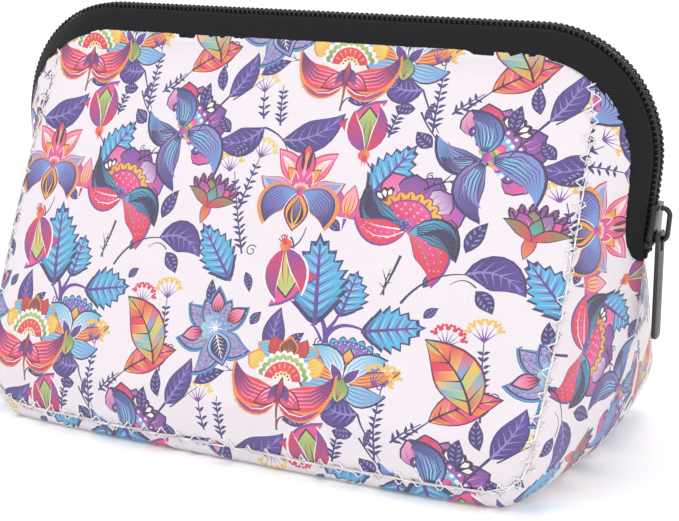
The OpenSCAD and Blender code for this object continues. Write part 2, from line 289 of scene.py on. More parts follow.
def tube(path, radius, sides=6, across=None):
    """Points and faces of a capped tube along a path; across is any direction to start the ring from."""
    path = np.asarray(path, float)
    ahead = unit(np.gradient(path, axis=0))
    side = np.tile(np.array([0.0, 1.0, 0.0]) if across is None else across, (len(path), 1))
    side = unit(side - ahead * (side * ahead).sum(1, keepdims=True))
    other = np.cross(ahead, side)
    turn = np.linspace(0, 2 * math.pi, sides, endpoint=False)
    radius = np.broadcast_to(np.asarray(radius, float), len(path))
    ring = (side[:, None] * np.cos(turn)[None, :, None] + other[:, None] * np.sin(turn)[None, :, None])
    points = (path[:, None] + ring * radius[:, None, None]).reshape(-1, 3)
    faces = grid_faces(len(path), sides, closed=True)
    faces.append(tuple(range(sides))[::-1])
    faces.append(tuple((len(path) - 1) * sides + k for k in range(sides)))
    return points, faces


def joined(parts):
    """One list of points and faces from several."""
    points, faces, start = [], [], 0
    for part_points, part_faces in parts:
        points.append(part_points)
        faces += [tuple(i + start for i in f) for f in part_faces]
        start += len(part_points)
    return np.vstack(points), faces


# ---------------------------------------------------------------- shape of the bag, in millimetres

front_low, front_high = node_mm("front_panel")
tape_low, tape_high = node_mm("front_zip_tape")
CHAIN_W, CHAIN_T = 6.0, 2.6
TAPE_W, TAPE_FLAT = 9.0, 0.24
RUN, LEAN, POINT_LEN = 31.5, math.radians(4.4), 18.0
SIDE_TILT, TOP_TILT = 27.0, 54.0
CORNER_R = 41.0
BAG_H, BAG_W, BAG_D = 150.0, 255.0, 124.0
ZIP_H = BAG_H - CHAIN_T / 2
CORNER = np.array([BAG_W / 2 - CHAIN_T / 2 - CORNER_R, 0, ZIP_H - CORNER_R])
UP_RUN = np.array([math.sin(LEAN), 0, math.cos(LEAN)])
OFF_RUN = np.array([math.cos(LEAN), 0, -math.sin(LEAN)])
RUN_TOP = CORNER + CORNER_R * OFF_RUN
RUN_FOOT = RUN_TOP - RUN * UP_RUN
FOOT_X, FOOT_Y, FOOT_Z = BAG_W / 2 - 19, BAG_D / 2 - 2, 23.0
BASE_X, BASE_Y, EDGE_H, CORNER_CUT, BELLY = BAG_W / 2 - 30, BAG_D / 2 - 4, 9.0, 4.0, 4.0
SEAM_BOW, SEAM_JOIN = 2.5, 50.0
HEM_Z, HEM_X = 6.5, 93.0
ZIGZAG_PITCH = 7.0


def mix(a, b, t):
    return a + (b - a) * t


def zip_tilt(angle):
    """Tilt of the tape, in radians, at an angle (degrees) round the top corner."""
    turn = np.clip((angle + math.degrees(LEAN)) / (90 + math.degrees(LEAN)), 0, 1)
    return np.radians(mix(SIDE_TILT, TOP_TILT, turn))


def zip_point(s, lift=0.0):
    """The zip's middle line on the right half: s runs up the straight, round the corner, along the top."""
    s = np.asarray(s, float)
    bend = CORNER_R * (math.pi / 2 + LEAN)
    angle = np.clip((s - RUN) / CORNER_R - LEAN, -LEAN, math.pi / 2)
    reach = CORNER_R + lift
    point = np.stack([CORNER[0] + reach * np.cos(angle), 0 * s, CORNER[2] + reach * np.sin(angle)], -1)
    point = point + np.minimum(s - RUN, 0)[..., None] * UP_RUN
    return point - np.maximum(s - RUN - bend, 0)[..., None] * np.array([1.0, 0, 0])


def zip_out(s):
    """Direction from the bag outward at s."""
    angle = np.clip((np.asarray(s, float) - RUN) / CORNER_R - LEAN, -LEAN, math.pi / 2)
    return np.stack([np.cos(angle), 0 * angle, np.sin(angle)], -1)


def taper(s):
    return np.sqrt(1 - np.clip(1 - np.asarray(s, float) / POINT_LEN, 0, 1) ** 2)


def tape_edge(s):
    """The front edge of the zip tape at s."""
    s = np.asarray(s, float)
    angle = np.degrees((s - RUN) / CORNER_R - LEAN)
    tilt = np.where(s < RUN, math.radians(SIDE_TILT), zip_tilt(np.minimum(angle, 90)))
    inward = np.where((s < RUN)[..., None], np.array([1.0, 0, 0]), zip_out(s))
    drop = TAPE_W * taper(s) * np.sin(tilt)
    point = zip_point(s) - drop[..., None] * inward
    point[..., 1] = -(CHAIN_W / 2 + TAPE_W * np.cos(tilt)) * np.where(s < RUN, taper(s), 1)
    return point


BEND_S = RUN + CORNER_R * (math.pi / 2 + LEAN)
TOP_S = BEND_S + CORNER[0]
SEAM_S = RUN + CORNER_R * (math.radians(SEAM_JOIN) + LEAN)
SEAM_TOP = tape_edge(np.array(SEAM_S))


def seam_end(z):
    """How far the front surface reaches to the side, and how far forward its end stands, at height z."""
    z = np.asarray(z, float)
    turn = np.sqrt(1 - (1 - np.clip(z / FOOT_Z, 0, 1)) ** 2)
    edge = np.sqrt(1 - (1 - np.clip(z / EDGE_H, 0, 1)) ** 2)
    t = np.clip((z - FOOT_Z) / (SEAM_TOP[2] - FOOT_Z), 0, 1)
    low = mix(BASE_X - CORNER_CUT, FOOT_X, turn), mix(BASE_Y - CORNER_CUT, FOOT_Y, edge)
    high = mix(FOOT_X, SEAM_TOP[0], t) + SEAM_BOW * np.sin(math.pi * t), mix(FOOT_Y, -SEAM_TOP[1], t)
    top_s = np.linspace(SEAM_S, BEND_S, 60)
    top = tape_edge(top_s)
    x = np.where(z < FOOT_Z, low[0], high[0])
    y = np.where(z < FOOT_Z, low[1], high[1])
    above = z > SEAM_TOP[2]
    x = np.where(above, np.interp(z, top[:, 2], top[:, 0]), x)
    y = np.where(above, np.interp(z, top[:, 2], -top[:, 1]), y)
    return x, y


def front_y(x, z):
    """How far forward the front surface stands, as a positive depth."""
    end_x, end_y = seam_end(z)
    rise = np.clip(z / EDGE_H, 0, 1)
    reach = np.clip(z / (ZIP_H - 6), 0, 1)
    belly = mix(CORNER_CUT, BELLY, rise) * np.where(z < EDGE_H, 1, np.cos(math.pi / 2 * reach ** 2))
    u = np.clip(np.abs(x) / end_x, 0, 1)
    return end_y + belly * (1 - u ** mix(8.0, 2.4, rise))


def soft(x, z, seed=0.0):
    """Low, wide unevenness of the foam cloth (mm)."""
    return (0.38 * np.sin(x / 23.0 + 1.3 + seed) * np.sin(z / 17.0 + 0.4 + seed)
            + 0.22 * np.sin(x / 11.0 - z / 14.0 + 2.1 * seed + 0.5)
            + 0.10 * np.sin(x / 5.3 + z / 6.1 + seed))


# Seam line on the front surface, from the tape's edge down the side and round to the hem
def seam_line():
    """(x, z) of the right half of the front seam, from the tape down to the middle of the hem."""
    z = np.linspace(SEAM_TOP[2], FOOT_Z, 60)
    side = np.stack([seam_end(z)[0], z], 1)
    q = np.linspace(0, math.pi / 2, 40)[1:]
    corner = np.stack([HEM_X + (FOOT_X - HEM_X) * np.cos(q), FOOT_Z - (FOOT_Z - HEM_Z) * np.sin(q)], 1)
    hem_x = np.linspace(HEM_X, 0, 50)[1:]
    hem = np.stack([hem_x, HEM_Z + 0 * hem_x], 1)
    return resample(np.vstack([side, corner, hem]), 400)


SEAM = seam_line()
SEAM_RUN = along(SEAM)


def on_front(xz):
    """Points on the front surface (-Y side) over (x, z)."""
    return np.stack([xz[:, 0], -front_y(xz[:, 0], xz[:, 1]), xz[:, 1]], 1)


def near(points, line):
    """Distance of each 2-D point from a line, and how far along the line that is."""
    best = np.full(len(points), 1e9)
    where = np.zeros(len(points))
    run = along(line)
    for i in range(len(line) - 1):
        a, d = line[i], line[i + 1] - line[i]
        t = np.clip(((points - a) @ d) / max(d @ d, 1e-9), 0, 1)
        gap = np.hypot(*(points - a - t[:, None] * d).T)
        closer = gap < best
        best[closer] = gap[closer]
        where[closer] = run[i] + t[closer] * (run[i + 1] - run[i])
    return best, where


def pucker(gap, run):
    """Depth of the valley that a zigzag seam pulls into the cloth, at a distance from it and along it."""
    pull = 1 + 0.35 * np.cos(run * 2 * math.pi / ZIGZAG_PITCH)
    return -(0.85 * np.exp(-(gap / 1.7) ** 2) + 0.30 * np.exp(-(gap / 5.0) ** 2)) * pull


# ---- Front panel: cut flat as (x, v), where v is the distance up the middle of the front
panel_z = np.linspace(HEM_Z, tape_edge(np.array(TOP_S))[2], 400)
panel_v = along(np.stack([front_y(0 * panel_z, panel_z), panel_z], 1))


def panel_outline():
    """Outline of the front panel on the flat cloth, counter-clockwise from the middle of the hem."""
    top = tape_edge(np.linspace(SEAM_S, TOP_S, 90))
    half = np.vstack([SEAM[::-1], np.stack([top[1:, 0], top[1:, 2]], 1)])
    half = resample(half, 150)
    whole = np.vstack([half, (half * [-1, 1])[-2:0:-1]])
    return np.stack([whole[:, 0], np.interp(whole[:, 1], panel_z, panel_v)], 1)


def panel_points(flat, seed):
    """Front-surface points for flat cloth points, pulled in at the seams and rolled under the tape."""
    x, z = flat[:, 0], np.interp(flat[:, 1], panel_v, panel_z)
    points = on_front(np.stack([x, z], 1))
    mirrored = np.stack([np.abs(x), z], 1)
    seam_gap, seam_at = near(mirrored, SEAM[::4])
    top = tape_edge(np.linspace(SEAM_S - 1, TOP_S, 60))
    tape_gap, _ = near(mirrored, np.stack([top[:, 0], top[:, 2]], 1))
    push = pucker(seam_gap, seam_at) - 1.1 * np.clip(1 - tape_gap / 1.8, 0, 1) ** 2
    push += 0.35 * np.exp(-((tape_gap - 3.2) / 2.0) ** 2)
    push += soft(x, z, seed) * np.clip(np.minimum(seam_gap, tape_gap) / 9, 0, 1)
    step = 0.5
    slope_x = (front_y(x + step, z) - front_y(x - step, z)) / (2 * step)
    low_z, high_z = np.maximum(z - step, 0.5), z + step
    slope_z = (front_y(x, high_z) - front_y(x, low_z)) / (high_z - low_z)
    slope_x = np.clip(slope_x, -1.5, 1.5)
    out = unit(np.stack([-slope_x, -np.ones_like(x), -slope_z * 0 - np.clip(slope_z, -1.5, 1.5) * 0], 1)
               - np.stack([0 * x, 0 * x, np.clip(slope_z, -1.5, 1.5)], 1))
    return points + out * push[:, None]


# ---- Gusset: one strip from the point of the zip on the left, under the bag, to the point on the right
def side_line(t):
    """Middle of the gusset's right side, from the underside to the foot of the zip."""
    t = np.asarray(t, float)[:, None]
    foot, out = np.array([BASE_X, 0, 0]), np.array([BASE_X + 21, 0, 0])
    up = RUN_FOOT - 44 * UP_RUN
    return (1 - t) ** 3 * foot + 3 * (1 - t) ** 2 * t * out + 3 * (1 - t) * t * t * up + t ** 3 * RUN_FOOT


GUSSET_STEPS = 26


def gusset_rows():
    """Rows across the right half of the gusset, front seam to middle (or to the tape's edge), and its stages."""
    rows, stage = [], []
    a = np.linspace(0, math.pi / 2, GUSSET_STEPS)
    tau = np.linspace(0, 1, GUSSET_STEPS)
    line = resample(side_line(np.linspace(0, 1, 200)), 300)
    line_foot = line[np.searchsorted(line[:, 2], FOOT_Z)]
    middle_low = resample(np.vstack([np.array([[HEM_X - 8, 0, 0]]), line[line[:, 2] < FOOT_Z]]), 34)
    q = np.linspace(math.pi / 2, 0, 34)
    corner = np.stack([HEM_X + (FOOT_X - HEM_X) * np.cos(q), FOOT_Z - (FOOT_Z - HEM_Z) * np.sin(q)], 1)
    corner_seam = on_front(corner)
    edge_drop = np.sqrt(1 - (1 - np.clip(tau / 0.10, 0, 1)) ** 2)

    def blended(front, middle, share, straight):
        """share 0 is a row under the bag, 1 a row up its side; straight 1 is a ridge."""
        flat_row = np.stack([mix(front[0], middle[0], tau), front[1] * (1 - tau),
                             mix(front[2], middle[2], edge_drop)], 1)
        flat_row[:, 1] = front[1] * (1 - tau * mix(1.0, 1.0, tau))
        box = np.stack([mix(front[0], middle[0], np.sqrt(np.sin(a))), front[1] * np.cos(a),
                        mix(front[2], middle[2], np.sin(a))], 1)
        ridge = mix(front[None], middle[None], tau[:, None])
        side = mix(resample(box, GUSSET_STEPS), ridge, straight)
        return resample(mix(flat_row, side, share), GUSSET_STEPS)

    for x in np.linspace(0, HEM_X - 8, 30)[:-1]:
        front = on_front(np.array([[x * HEM_X / (HEM_X - 8), HEM_Z]]))[0]
        rows.append(blended(front, np.array([x, 0, 0]), 0.0, 0.0))
        stage.append(0)
    for i in range(34):
        share = i / 33
        share = share * share * (3 - 2 * share)
        t = np.searchsorted(line[:, 2], max(middle_low[i][2], 0.01)) / 300
        rows.append(blended(corner_seam[i], middle_low[i], share, t * share))
        stage.append(1)
    for i in range(1, 46):
        at = mix(line_foot[2], RUN_FOOT[2], i / 45)
        k = min(np.searchsorted(line[:, 2], at), 299)
        middle = line[k] if i < 45 else RUN_FOOT
        x, y = seam_end(middle[2])
        rows.append(blended(np.array([float(x), -float(y), middle[2]]), middle, 1.0, mix(k / 299, k / 299, 0)))
        stage.append(2)
    body_rows = len(rows)
    for s in np.concatenate([np.linspace(0.35, 6, 9), np.linspace(7, SEAM_S - 1.2, 60)]):
        edge = tape_edge(np.array(s))
        x, y = seam_end(edge[2])
        front = np.array([float(x), -float(y), edge[2]])
        rows.append(mix(front[None], edge[None], tau[:, None]))
        stage.append(3)
    return np.array(rows), body_rows


ROWS, BODY_ROWS = gusset_rows()


def gusset_table():
    """For each row: its place along the cut strip, and how far from the strip's middle it starts and ends."""
    half_way = ROWS[:, GUSSET_STEPS // 2]
    far = along(half_way)
    length = np.array([along(row)[-1] for row in ROWS])
    inner = np.zeros(len(ROWS))
    horn = ROWS[BODY_ROWS:, -1]
    inner[BODY_ROWS:] = -horn[:, 1]
    return far, inner, inner + length


STRIP_A, STRIP_IN, STRIP_OUT = gusset_table()


def gusset_outline():
    """Outline of the flat gusset strip: two long edges and a notch for the zip at each end."""
    horn = np.arange(BODY_ROWS - 1, len(ROWS))
    right_low = np.stack([STRIP_A, -STRIP_OUT], 1)
    tip = np.stack([STRIP_A[horn], -STRIP_IN[horn]], 1)[::-1]
    notch = np.stack([STRIP_A[horn], STRIP_IN[horn]], 1)[1:]
    right_high = np.stack([STRIP_A, STRIP_OUT], 1)[::-1]
    right = np.vstack([right_low, tip, notch, right_high])
    left = (right * [-1, 1])[::-1]
    ring = np.vstack([right[1:-1], left[1:-1]])
    # Left half starts where the right half ends, at the middle of the back edge
    keep = [0]
    for i in range(1, len(ring)):
        if np.hypot(*(ring[i] - ring[keep[-1]])) > 0.35:
            keep.append(i)
    return ring[keep]


def gusset_points(flat, seed):
    """Points of the gusset for places on the flat strip."""
    side = np.where(flat[:, 0] < 0, -1.0, 1.0)
    face = np.where(flat[:, 1] < 0, 1.0, -1.0)
    a, b = np.abs(flat[:, 0]), np.abs(flat[:, 1])
    row = np.interp(a, STRIP_A, np.arange(len(ROWS)))
    r0 = np.clip(row.astype(int), 0, len(ROWS) - 2)
    fr = row - r0
    b_in, b_out = np.interp(a, STRIP_A, STRIP_IN), np.interp(a, STRIP_A, STRIP_OUT)
    col = np.clip((b_out - b) / np.maximum(b_out - b_in, 1e-6), 0, 1) * (GUSSET_STEPS - 1)
    c0 = np.clip(col.astype(int), 0, GUSSET_STEPS - 2)
    fc = col - c0

    def at(r, c):
        return ROWS[r, c]

    top = mix(at(r0, c0), at(r0, c0 + 1), fc[:, None])
    low = mix(at(r0 + 1, c0), at(r0 + 1, c0 + 1), fc[:, None])
    point = mix(top, low, fr[:, None])
    ahead = mix(at(r0 + 1, c0), at(r0 + 1, c0 + 1), 0.5) - mix(at(r0, c0), at(r0, c0 + 1), 0.5)
    across = at(r0, c0 + 1) - at(r0, c0)
    out = unit(np.cross(across, ahead))
    middle = np.array([0, 0, 60.0])
    out *= np.sign(((point - middle) * out).sum(1, keepdims=True))
    seam_run = np.interp(a, STRIP_A, along(ROWS[:, 0]))
    push = pucker(b_out - b, seam_run)
    tape_gap = np.where(a > STRIP_A[BODY_ROWS - 1], b - b_in, 99.0)
    push -= 1.0 * np.clip(1 - tape_gap / 1.8, 0, 1) ** 2
    inner_gap = np.minimum(b_out - b, tape_gap)
    push += soft(flat[:, 0], flat[:, 1], seed) * np.clip(inner_gap / 9, 0, 1) * np.clip(point[:, 2] / 9, 0, 1)
    push = np.where(point[:, 2] < 3.0, np.minimum(push, 0), push)
    moved = point + out * push[:, None]
    moved[:, 2] = np.maximum(moved[:, 2], 0.02)
    return moved * np.stack([side, face, np.ones(len(side))], 1)


# ---------------------------------------------------------------- the print: shapes drawn on flat cloth

INK = {name: srgb(code) for name, code in dict(
    ground="#f3ebf1", line="#33245f", indigo="#372a78", purple="#5b3b9b", lavender="#9182cb", sky="#6f9ddb",
    turquoise="#46b8e4", pale="#a9d8ee", teal="#1f7fb0", crimson="#df2a55", red="#f0435c", pink="#f0559c",
    blush="#f7a3c6", mauve="#a956b4", violet="#7d3f9e", orange="#f29436", gold="#f3c455", yellow="#f2d36a",
    lime="#b9cf7a", olive="#6f9450", plum="#35123f", rust="#a2462e", white="#fbf8f4", grey="#a9adc6",
    dark="#1f1640").items()}


def polar(radius, degrees):
    return radius * np.exp(1j * np.radians(degrees))


def spine_of(base, tip, bend, t):
    """Points along the middle of a leaf or petal, and the direction across it."""
    d = tip - base
    middle = base + d * (t + 1j * bend * 4 * t * (1 - t))
    way = d * (1 + 1j * bend * 4 * (1 - 2 * t))
    return middle, 1j * way / np.abs(way)


def girth(width, fat, t):
    return width / 2 * np.sin(math.pi * np.clip(t, 0, 1) ** (math.log(0.5) / math.log(fat)))


class Pen:
    """Draws shapes one over the other. Each shape goes through a place, a turn and a size.

    Points are complex numbers, right and up, in millimetres on the cloth."""

    def __init__(self, shapes, place=0j, turn=1 + 0j, cloth=None):
        self.shapes, self.place, self.turn = shapes, place, turn
        self.cloth = cloth or (lambda z: z)

    def at(self, place, degrees=0.0, size=1.0):
        return Pen(self.shapes, self.place + place * self.turn, self.turn * polar(size, degrees), self.cloth)

    def shape(self, points, ink, to=None, ends=None):
        """A filled outline; with to, the ink changes from ends[0] to ends[1]."""
        points = np.asarray(points, complex)
        ends = ends or (points[0], points[len(points) // 2])
        spots = self.cloth(self.place + self.turn * np.concatenate([points, ends]))
        start, way = spots[-2], spots[-1] - spots[-2]
        self.shapes.append((spots[:-2], INK[ink], INK[to or ink], start, way / max(abs(way) ** 2, 1e-9)))

    def blade(self, base, tip, width, ink, to=None, bend=0.0, fat=0.45, line="line", thick=0.5, steps=8):
        """A leaf or petal with an outline."""
        t = np.linspace(0, 1, steps)
        if line:
            reach = (tip - base) / abs(tip - base) * thick
            middle, across = spine_of(base - reach * 0.5, tip + reach * 1.6, bend, t)
            half = girth(width + 2 * thick, fat, t)
            self.shape(np.concatenate([middle + across * half, (middle - across * half)[-2:0:-1]]), line)
        middle, across = spine_of(base, tip, bend, t)
        half = girth(width, fat, t)
        self.shape(np.concatenate([middle + across * half, (middle - across * half)[-2:0:-1]]),
                   ink, to, (base, tip))

    def tick(self, a, b, width, ink):
        """A thin stroke that narrows to nothing at b."""
        across = 1j * (b - a) / max(abs(b - a), 1e-6) * width / 2
        self.shape([a + across, b, a - across], ink)

    def veins(self, base, tip, width, ink, bend=0.0, fat=0.45, count=6, thick=0.45, sweep=0.16, reach=0.86):
        """A midrib and slanted veins, in pairs."""
        t = np.linspace(0.03, 0.97, 7)
        middle, across = spine_of(base, tip, bend, t)
        half = thick * 0.8 * (1.05 - t)
        self.shape(np.concatenate([middle + across * half, (middle - across * half)[::-1]]), ink)
        for t in np.linspace(0.10, 0.80, count):
            root = spine_of(base, tip, bend, t)[0]
            far, across = spine_of(base, tip, bend, t + sweep)
            edge = girth(width, fat, t + sweep) * reach
            self.tick(root, far + across * edge, thick, ink)
            self.tick(root, far - across * edge, thick, ink)

    def hatch(self, base, tip, width, ink, bend=0.0, fat=0.45, count=5, thick=0.35, start=0.05, end=0.8):
        """Fine strokes along a petal."""
        t = np.linspace(start, end, 4)
        for k in range(count):
            share = (k + 0.5) / count * 2 - 1
            middle, across = spine_of(base, tip, bend, t)
            line = middle + across * girth(width, fat, t) * share * 0.85
            wide = thick * np.array([0.5, 0.45, 0.3, 0.0])
            self.shape(np.concatenate([line + across * wide, (line - across * wide)[2::-1]]), ink)

    def disc(self, centre, radius, ink, to=None, sides=9):
        self.shape(centre + polar(radius, np.arange(sides) * 360 / sides), ink, to)

    def dots(self, centre, radius, start, end, count, size, ink, sides=6):
        for a in np.linspace(start, end, count):
            self.disc(centre + polar(radius, a), size, ink, sides=sides)

    def sector(self, centre, radius, start, end, ink, to=None, waves=0, depth=0.0):
        """Part of a disc, with a scalloped edge when waves is set."""
        a = np.linspace(start, end, 14 if not waves else waves * 4 + 1)
        turn = (a - start) / (end - start) * waves
        r = radius - depth * (1 - np.abs(np.sin(math.pi * turn))) if waves else radius + 0 * a
        self.shape(np.concatenate([[centre], centre + polar(r, a)]), ink, to, (centre, centre + polar(radius, (start + end) / 2)))

    def fan(self, centre, near, far, angles, width, inks, tos=None, fat=0.6, line="line", hatch=None, thick=0.45):
        """Petals that spread from a centre."""
        for i, a in enumerate(angles):
            base, tip = centre + polar(near, a), centre + polar(far, a)
            ink = inks[i % len(inks)]
            to = tos[i % len(tos)] if tos else None
            self.blade(base, tip, width, ink, to, fat=fat, line=line, thick=thick, steps=6)
            if hatch:
                self.hatch(base, tip, width, hatch, fat=fat, count=3)

    def shell(self, centre, degrees, size, ink="plum", drop="white", count=5):
        """A dark fan with pale drops round it."""
        self.sector(centre, size, degrees - 62, degrees + 62, ink, waves=count, depth=size * 0.14)
        for a in np.linspace(degrees - 48, degrees + 48, count):
            self.blade(centre + polar(size * 0.42, a), centre + polar(size * 0.86, a), size * 0.24, drop, line=None,
                       steps=4, fat=0.6)

    def stem(self, points, width, ink="line", steps=10):
        """A line drawn through its points, thicker at its start."""
        points = np.asarray(points, complex)
        t = np.linspace(0, 1, steps)
        knots = np.linspace(0, 1, len(points))
        if len(points) == 3:
            a, b, c = points
            line = (1 - t) ** 2 * a + 2 * t * (1 - t) * (2 * b - (a + c) / 2) + t * t * c
        else:
            line = np.interp(t, knots, points.real) + 1j * np.interp(t, knots, points.imag)
        way = np.gradient(line)
        across = 1j * way / np.maximum(np.abs(way), 1e-9) * (width / 2 * (1 - 0.6 * t))
        self.shape(np.concatenate([line + across, (line - across)[::-1]]), ink)

    def curl(self, start, radius, degrees, ink="line", width=0.4, turns=1.2):
        """A tendril that rolls up."""
        t = np.linspace(0, 1, 16)
        r = radius * (1 - 0.75 * t)
        spin = np.radians(degrees) + t * turns * 2 * math.pi
        line = start - radius * np.exp(1j * math.radians(degrees)) + r * np.exp(1j * spin)
        way = np.gradient(line)
        across = 1j * way / np.abs(way) * width / 2
        self.shape(np.concatenate([line + across, (line - across)[::-1]]), ink)


def vein_leaf(pen, base, tip, width, bend=0.1, ink="indigo", vein="lavender", count=6):
    pen.blade(base, tip, width, ink, "purple", bend=bend, line="line", thick=0.4, steps=10)
    t = 0.45
    side, across = spine_of(base, tip, bend, t)
    pen.veins(base, tip, width, vein, bend=bend, count=count, thick=0.55 if width > 7 else 0.4)


def window_leaf(pen, base, tip, width, bend=0.05, ink="indigo"):
    """A small dark leaf with pale slots."""
    pen.blade(base, tip, width, ink, "line", bend=bend, line=None, steps=8)
    for t in (0.22, 0.38, 0.54, 0.70):
        root, across = spine_of(base, tip, bend, t)
        far, _ = spine_of(base, tip, bend, t + 0.12)
        edge = girth(width, 0.45, t + 0.1) * 0.72
        for side in (-1, 1):
            pen.blade(root + across * side * width * 0.07, far + across * side * edge, width * 0.13, "lavender",
                      line=None, steps=4)


def serrated_leaf(pen, base, tip, width, teeth=7):
    """A turquoise leaf with toothed, indigo edges."""
    d, half = tip - base, width / 2
    left, right = [], []
    for k in range(teeth * 2 + 1):
        t = 0.06 + 0.88 * k / (teeth * 2)
        edge = half * math.sin(math.pi * t ** 0.8) * (1.12 if k % 2 else 0.82)
        shift = 0.05 if k % 2 else -0.01
        left.append(base + d * min(t + shift, 1) + 1j * d / abs(d) * edge)
        right.append(base + d * min(t + shift, 1) - 1j * d / abs(d) * edge)
    ring = np.array([base] + left + [tip + d * 0.03] + right[::-1])
    middle = base + d * 0.5
    pen.shape(ring, "line", "indigo", (base, tip))
    pen.shape(middle + (ring - middle) * 0.87, "teal", "turquoise", (base, middle))
    pen.shape(middle + (ring - middle) * 0.72, "turquoise", "sky", (middle, tip))
    for k in range(teeth - 1):
        t = 0.12 + 0.72 * k / (teeth - 1)
        root = base + d * t
        edge = half * math.sin(math.pi * (t + 0.1) ** 0.8)
        for side in (-1, 1):
            far = root + d * 0.14 + 1j * d / abs(d) * edge * side * 0.84
            pen.tick(root, far, 0.75, "violet")
            pen.tick(root + d * 0.05, far + d * 0.055, 0.5, "pale")
    pen.stem([base, middle, tip - d * 0.1], width * 0.085, "purple")


def striped_leaf(pen, base, tip, width, inks, bend=0.1, bands=7):
    """A leaf banded on the slant in several inks, with dark lines between."""
    pen.blade(base, tip, width + 0.6, inks[0], bend=bend, line="plum", thick=0.45, steps=10)
    for side in (-1, 1):
        for k in range(bands):
            t0, t1 = k / bands * 0.86 + 0.03, (k + 1) / bands * 0.86 + 0.03
            ends = []
            for t in (t0, t1):
                root, _ = spine_of(base, tip, bend, t)
                far, across = spine_of(base, tip, bend, min(t + 0.14, 1))
                ends.append((root, far + across * side * girth(width, 0.45, min(t + 0.14, 0.995))))
            (r0, f0), (r1, f1) = ends
            ink = inks[(k + (side > 0)) % len(inks)]
            pen.shape([r0, f0, f1, r1], ink, inks[(k + 2) % len(inks)], (r0, f1))
            pen.tick(r0, f0, 0.55, "plum" if k % 2 else "gold")
    pen.stem([base, spine_of(base, tip, bend, 0.5)[0], tip], 0.8, "plum")


def sprig(pen, base, top, pairs=8, ink="indigo", umbel=None, needle=3.4):
    """A stem of needle leaves, with a flat flower head when umbel names its ink."""
    d = top - base
    pen.stem([base, base + d * 0.5 + 0.3j * d / abs(d), top], 0.75, ink)
    for k in range(pairs):
        root = base + d * (0.06 + 0.86 * k / pairs)
        for side in (-1, 1):
            way = d / abs(d) * polar(needle * (1 - 0.35 * k / pairs), side * (48 + 14 * (k % 2)))
            pen.blade(root, root + way, 1.05, ink, line=None, steps=5, bend=-0.12 * side)
    if umbel:
        head(pen, top, math.degrees(np.angle(d)), 6.2, umbel)


def head(pen, root, degrees, size, ink, spokes=6):
    """A flat flower head on spokes."""
    for a in np.linspace(degrees - 52, degrees + 52, spokes):
        tip = root + polar(size * (0.9 if abs(a - degrees) > 40 else 1.0), a)
        pen.tick(root, tip, 0.6, "violet")
        pen.disc(tip, 0.85, ink, sides=6)
        pen.disc(tip + polar(1.15, a + 40), 0.6, ink, sides=5)
        pen.disc(tip + polar(1.15, a - 40), 0.6, ink, sides=5)


def swoosh_flower(pen):
    """A blue flower: curved petals on one side, a scalloped half wheel on the other."""
    pen.fan(0, 6, 17.5, (118, 76, 4, -38), 8.5, ("mauve", "blush", "pink", "mauve"),
            ("blush", "mauve", "violet", "pink"), hatch="violet")
    pen.fan(0, 7, 18.5, (98, 28, -18), 9.0, ("pink", "mauve", "pink"), ("crimson", "violet", "crimson"), hatch="blush")
    pen.shell(polar(9.5, 56), 56, 7.5)
    pen.sector(0, 12.2, -52, 132, "line", waves=9, depth=1.4)
    pen.sector(0, 11.6, -50, 130, "purple", "mauve", waves=9, depth=1.4)
    pen.dots(0, 10.3, -40, 122, 9, 0.55, "white")
    pen.sector(0, 8.9, -54, 134, "pale", "turquoise")
    pen.dots(0, 8.2, -48, 128, 12, 0.8, "white")
    pen.sector(0, 7.0, -56, 136, "violet", "pink", waves=7, depth=1.0)
    pen.sector(0, 5.9, -56, 136, "blush", "pink", waves=7, depth=0.9)
    pen.sector(0, 4.0, -70, 150, "orange", "gold", waves=5, depth=0.6)
    pen.sector(0, 3.0, -80, 160, "lime", "olive")
    pen.disc(0.3 + 0.3j, 1.2, "crimson", sides=7)
    petals = (((-1.5 + 1j), (-7.5 + 15.5j), 8.5, -0.22, "sky", "indigo"),
              ((1 - 2j), (-16.5 + 6.5j), 8.0, 0.22, "indigo", "sky"),
              ((-2 - 1j), (-13.5 - 1j), 5.5, 0.20, "lavender", "line"),
              ((0 - 1j), (2.0 - 22j), 9.0, -0.22, "lavender", "indigo"),
              ((1 - 1j), (17 - 15j), 9.5, 0.26, "lavender", "sky"))
    for base, tip, width, bend, ink, to in petals:
        pen.blade(base, tip, width, ink, to, bend=bend, fat=0.42, line="line", thick=0.6, steps=11)
        pen.blade(mix(base, tip, 0.06), mix(base, tip, 0.80), width * 0.42, "turquoise", "lavender", bend=bend * 1.1,
                  fat=0.4, line=None)
        pen.hatch(base, tip, width, "line", bend=bend, fat=0.42, count=6, thick=0.42, end=0.86)
        pen.hatch(base, tip, width * 0.6, "pale", bend=bend, fat=0.42, count=3, thick=0.3, start=0.15, end=0.6)
    pen.disc(0, 1.7, "pink", "violet")


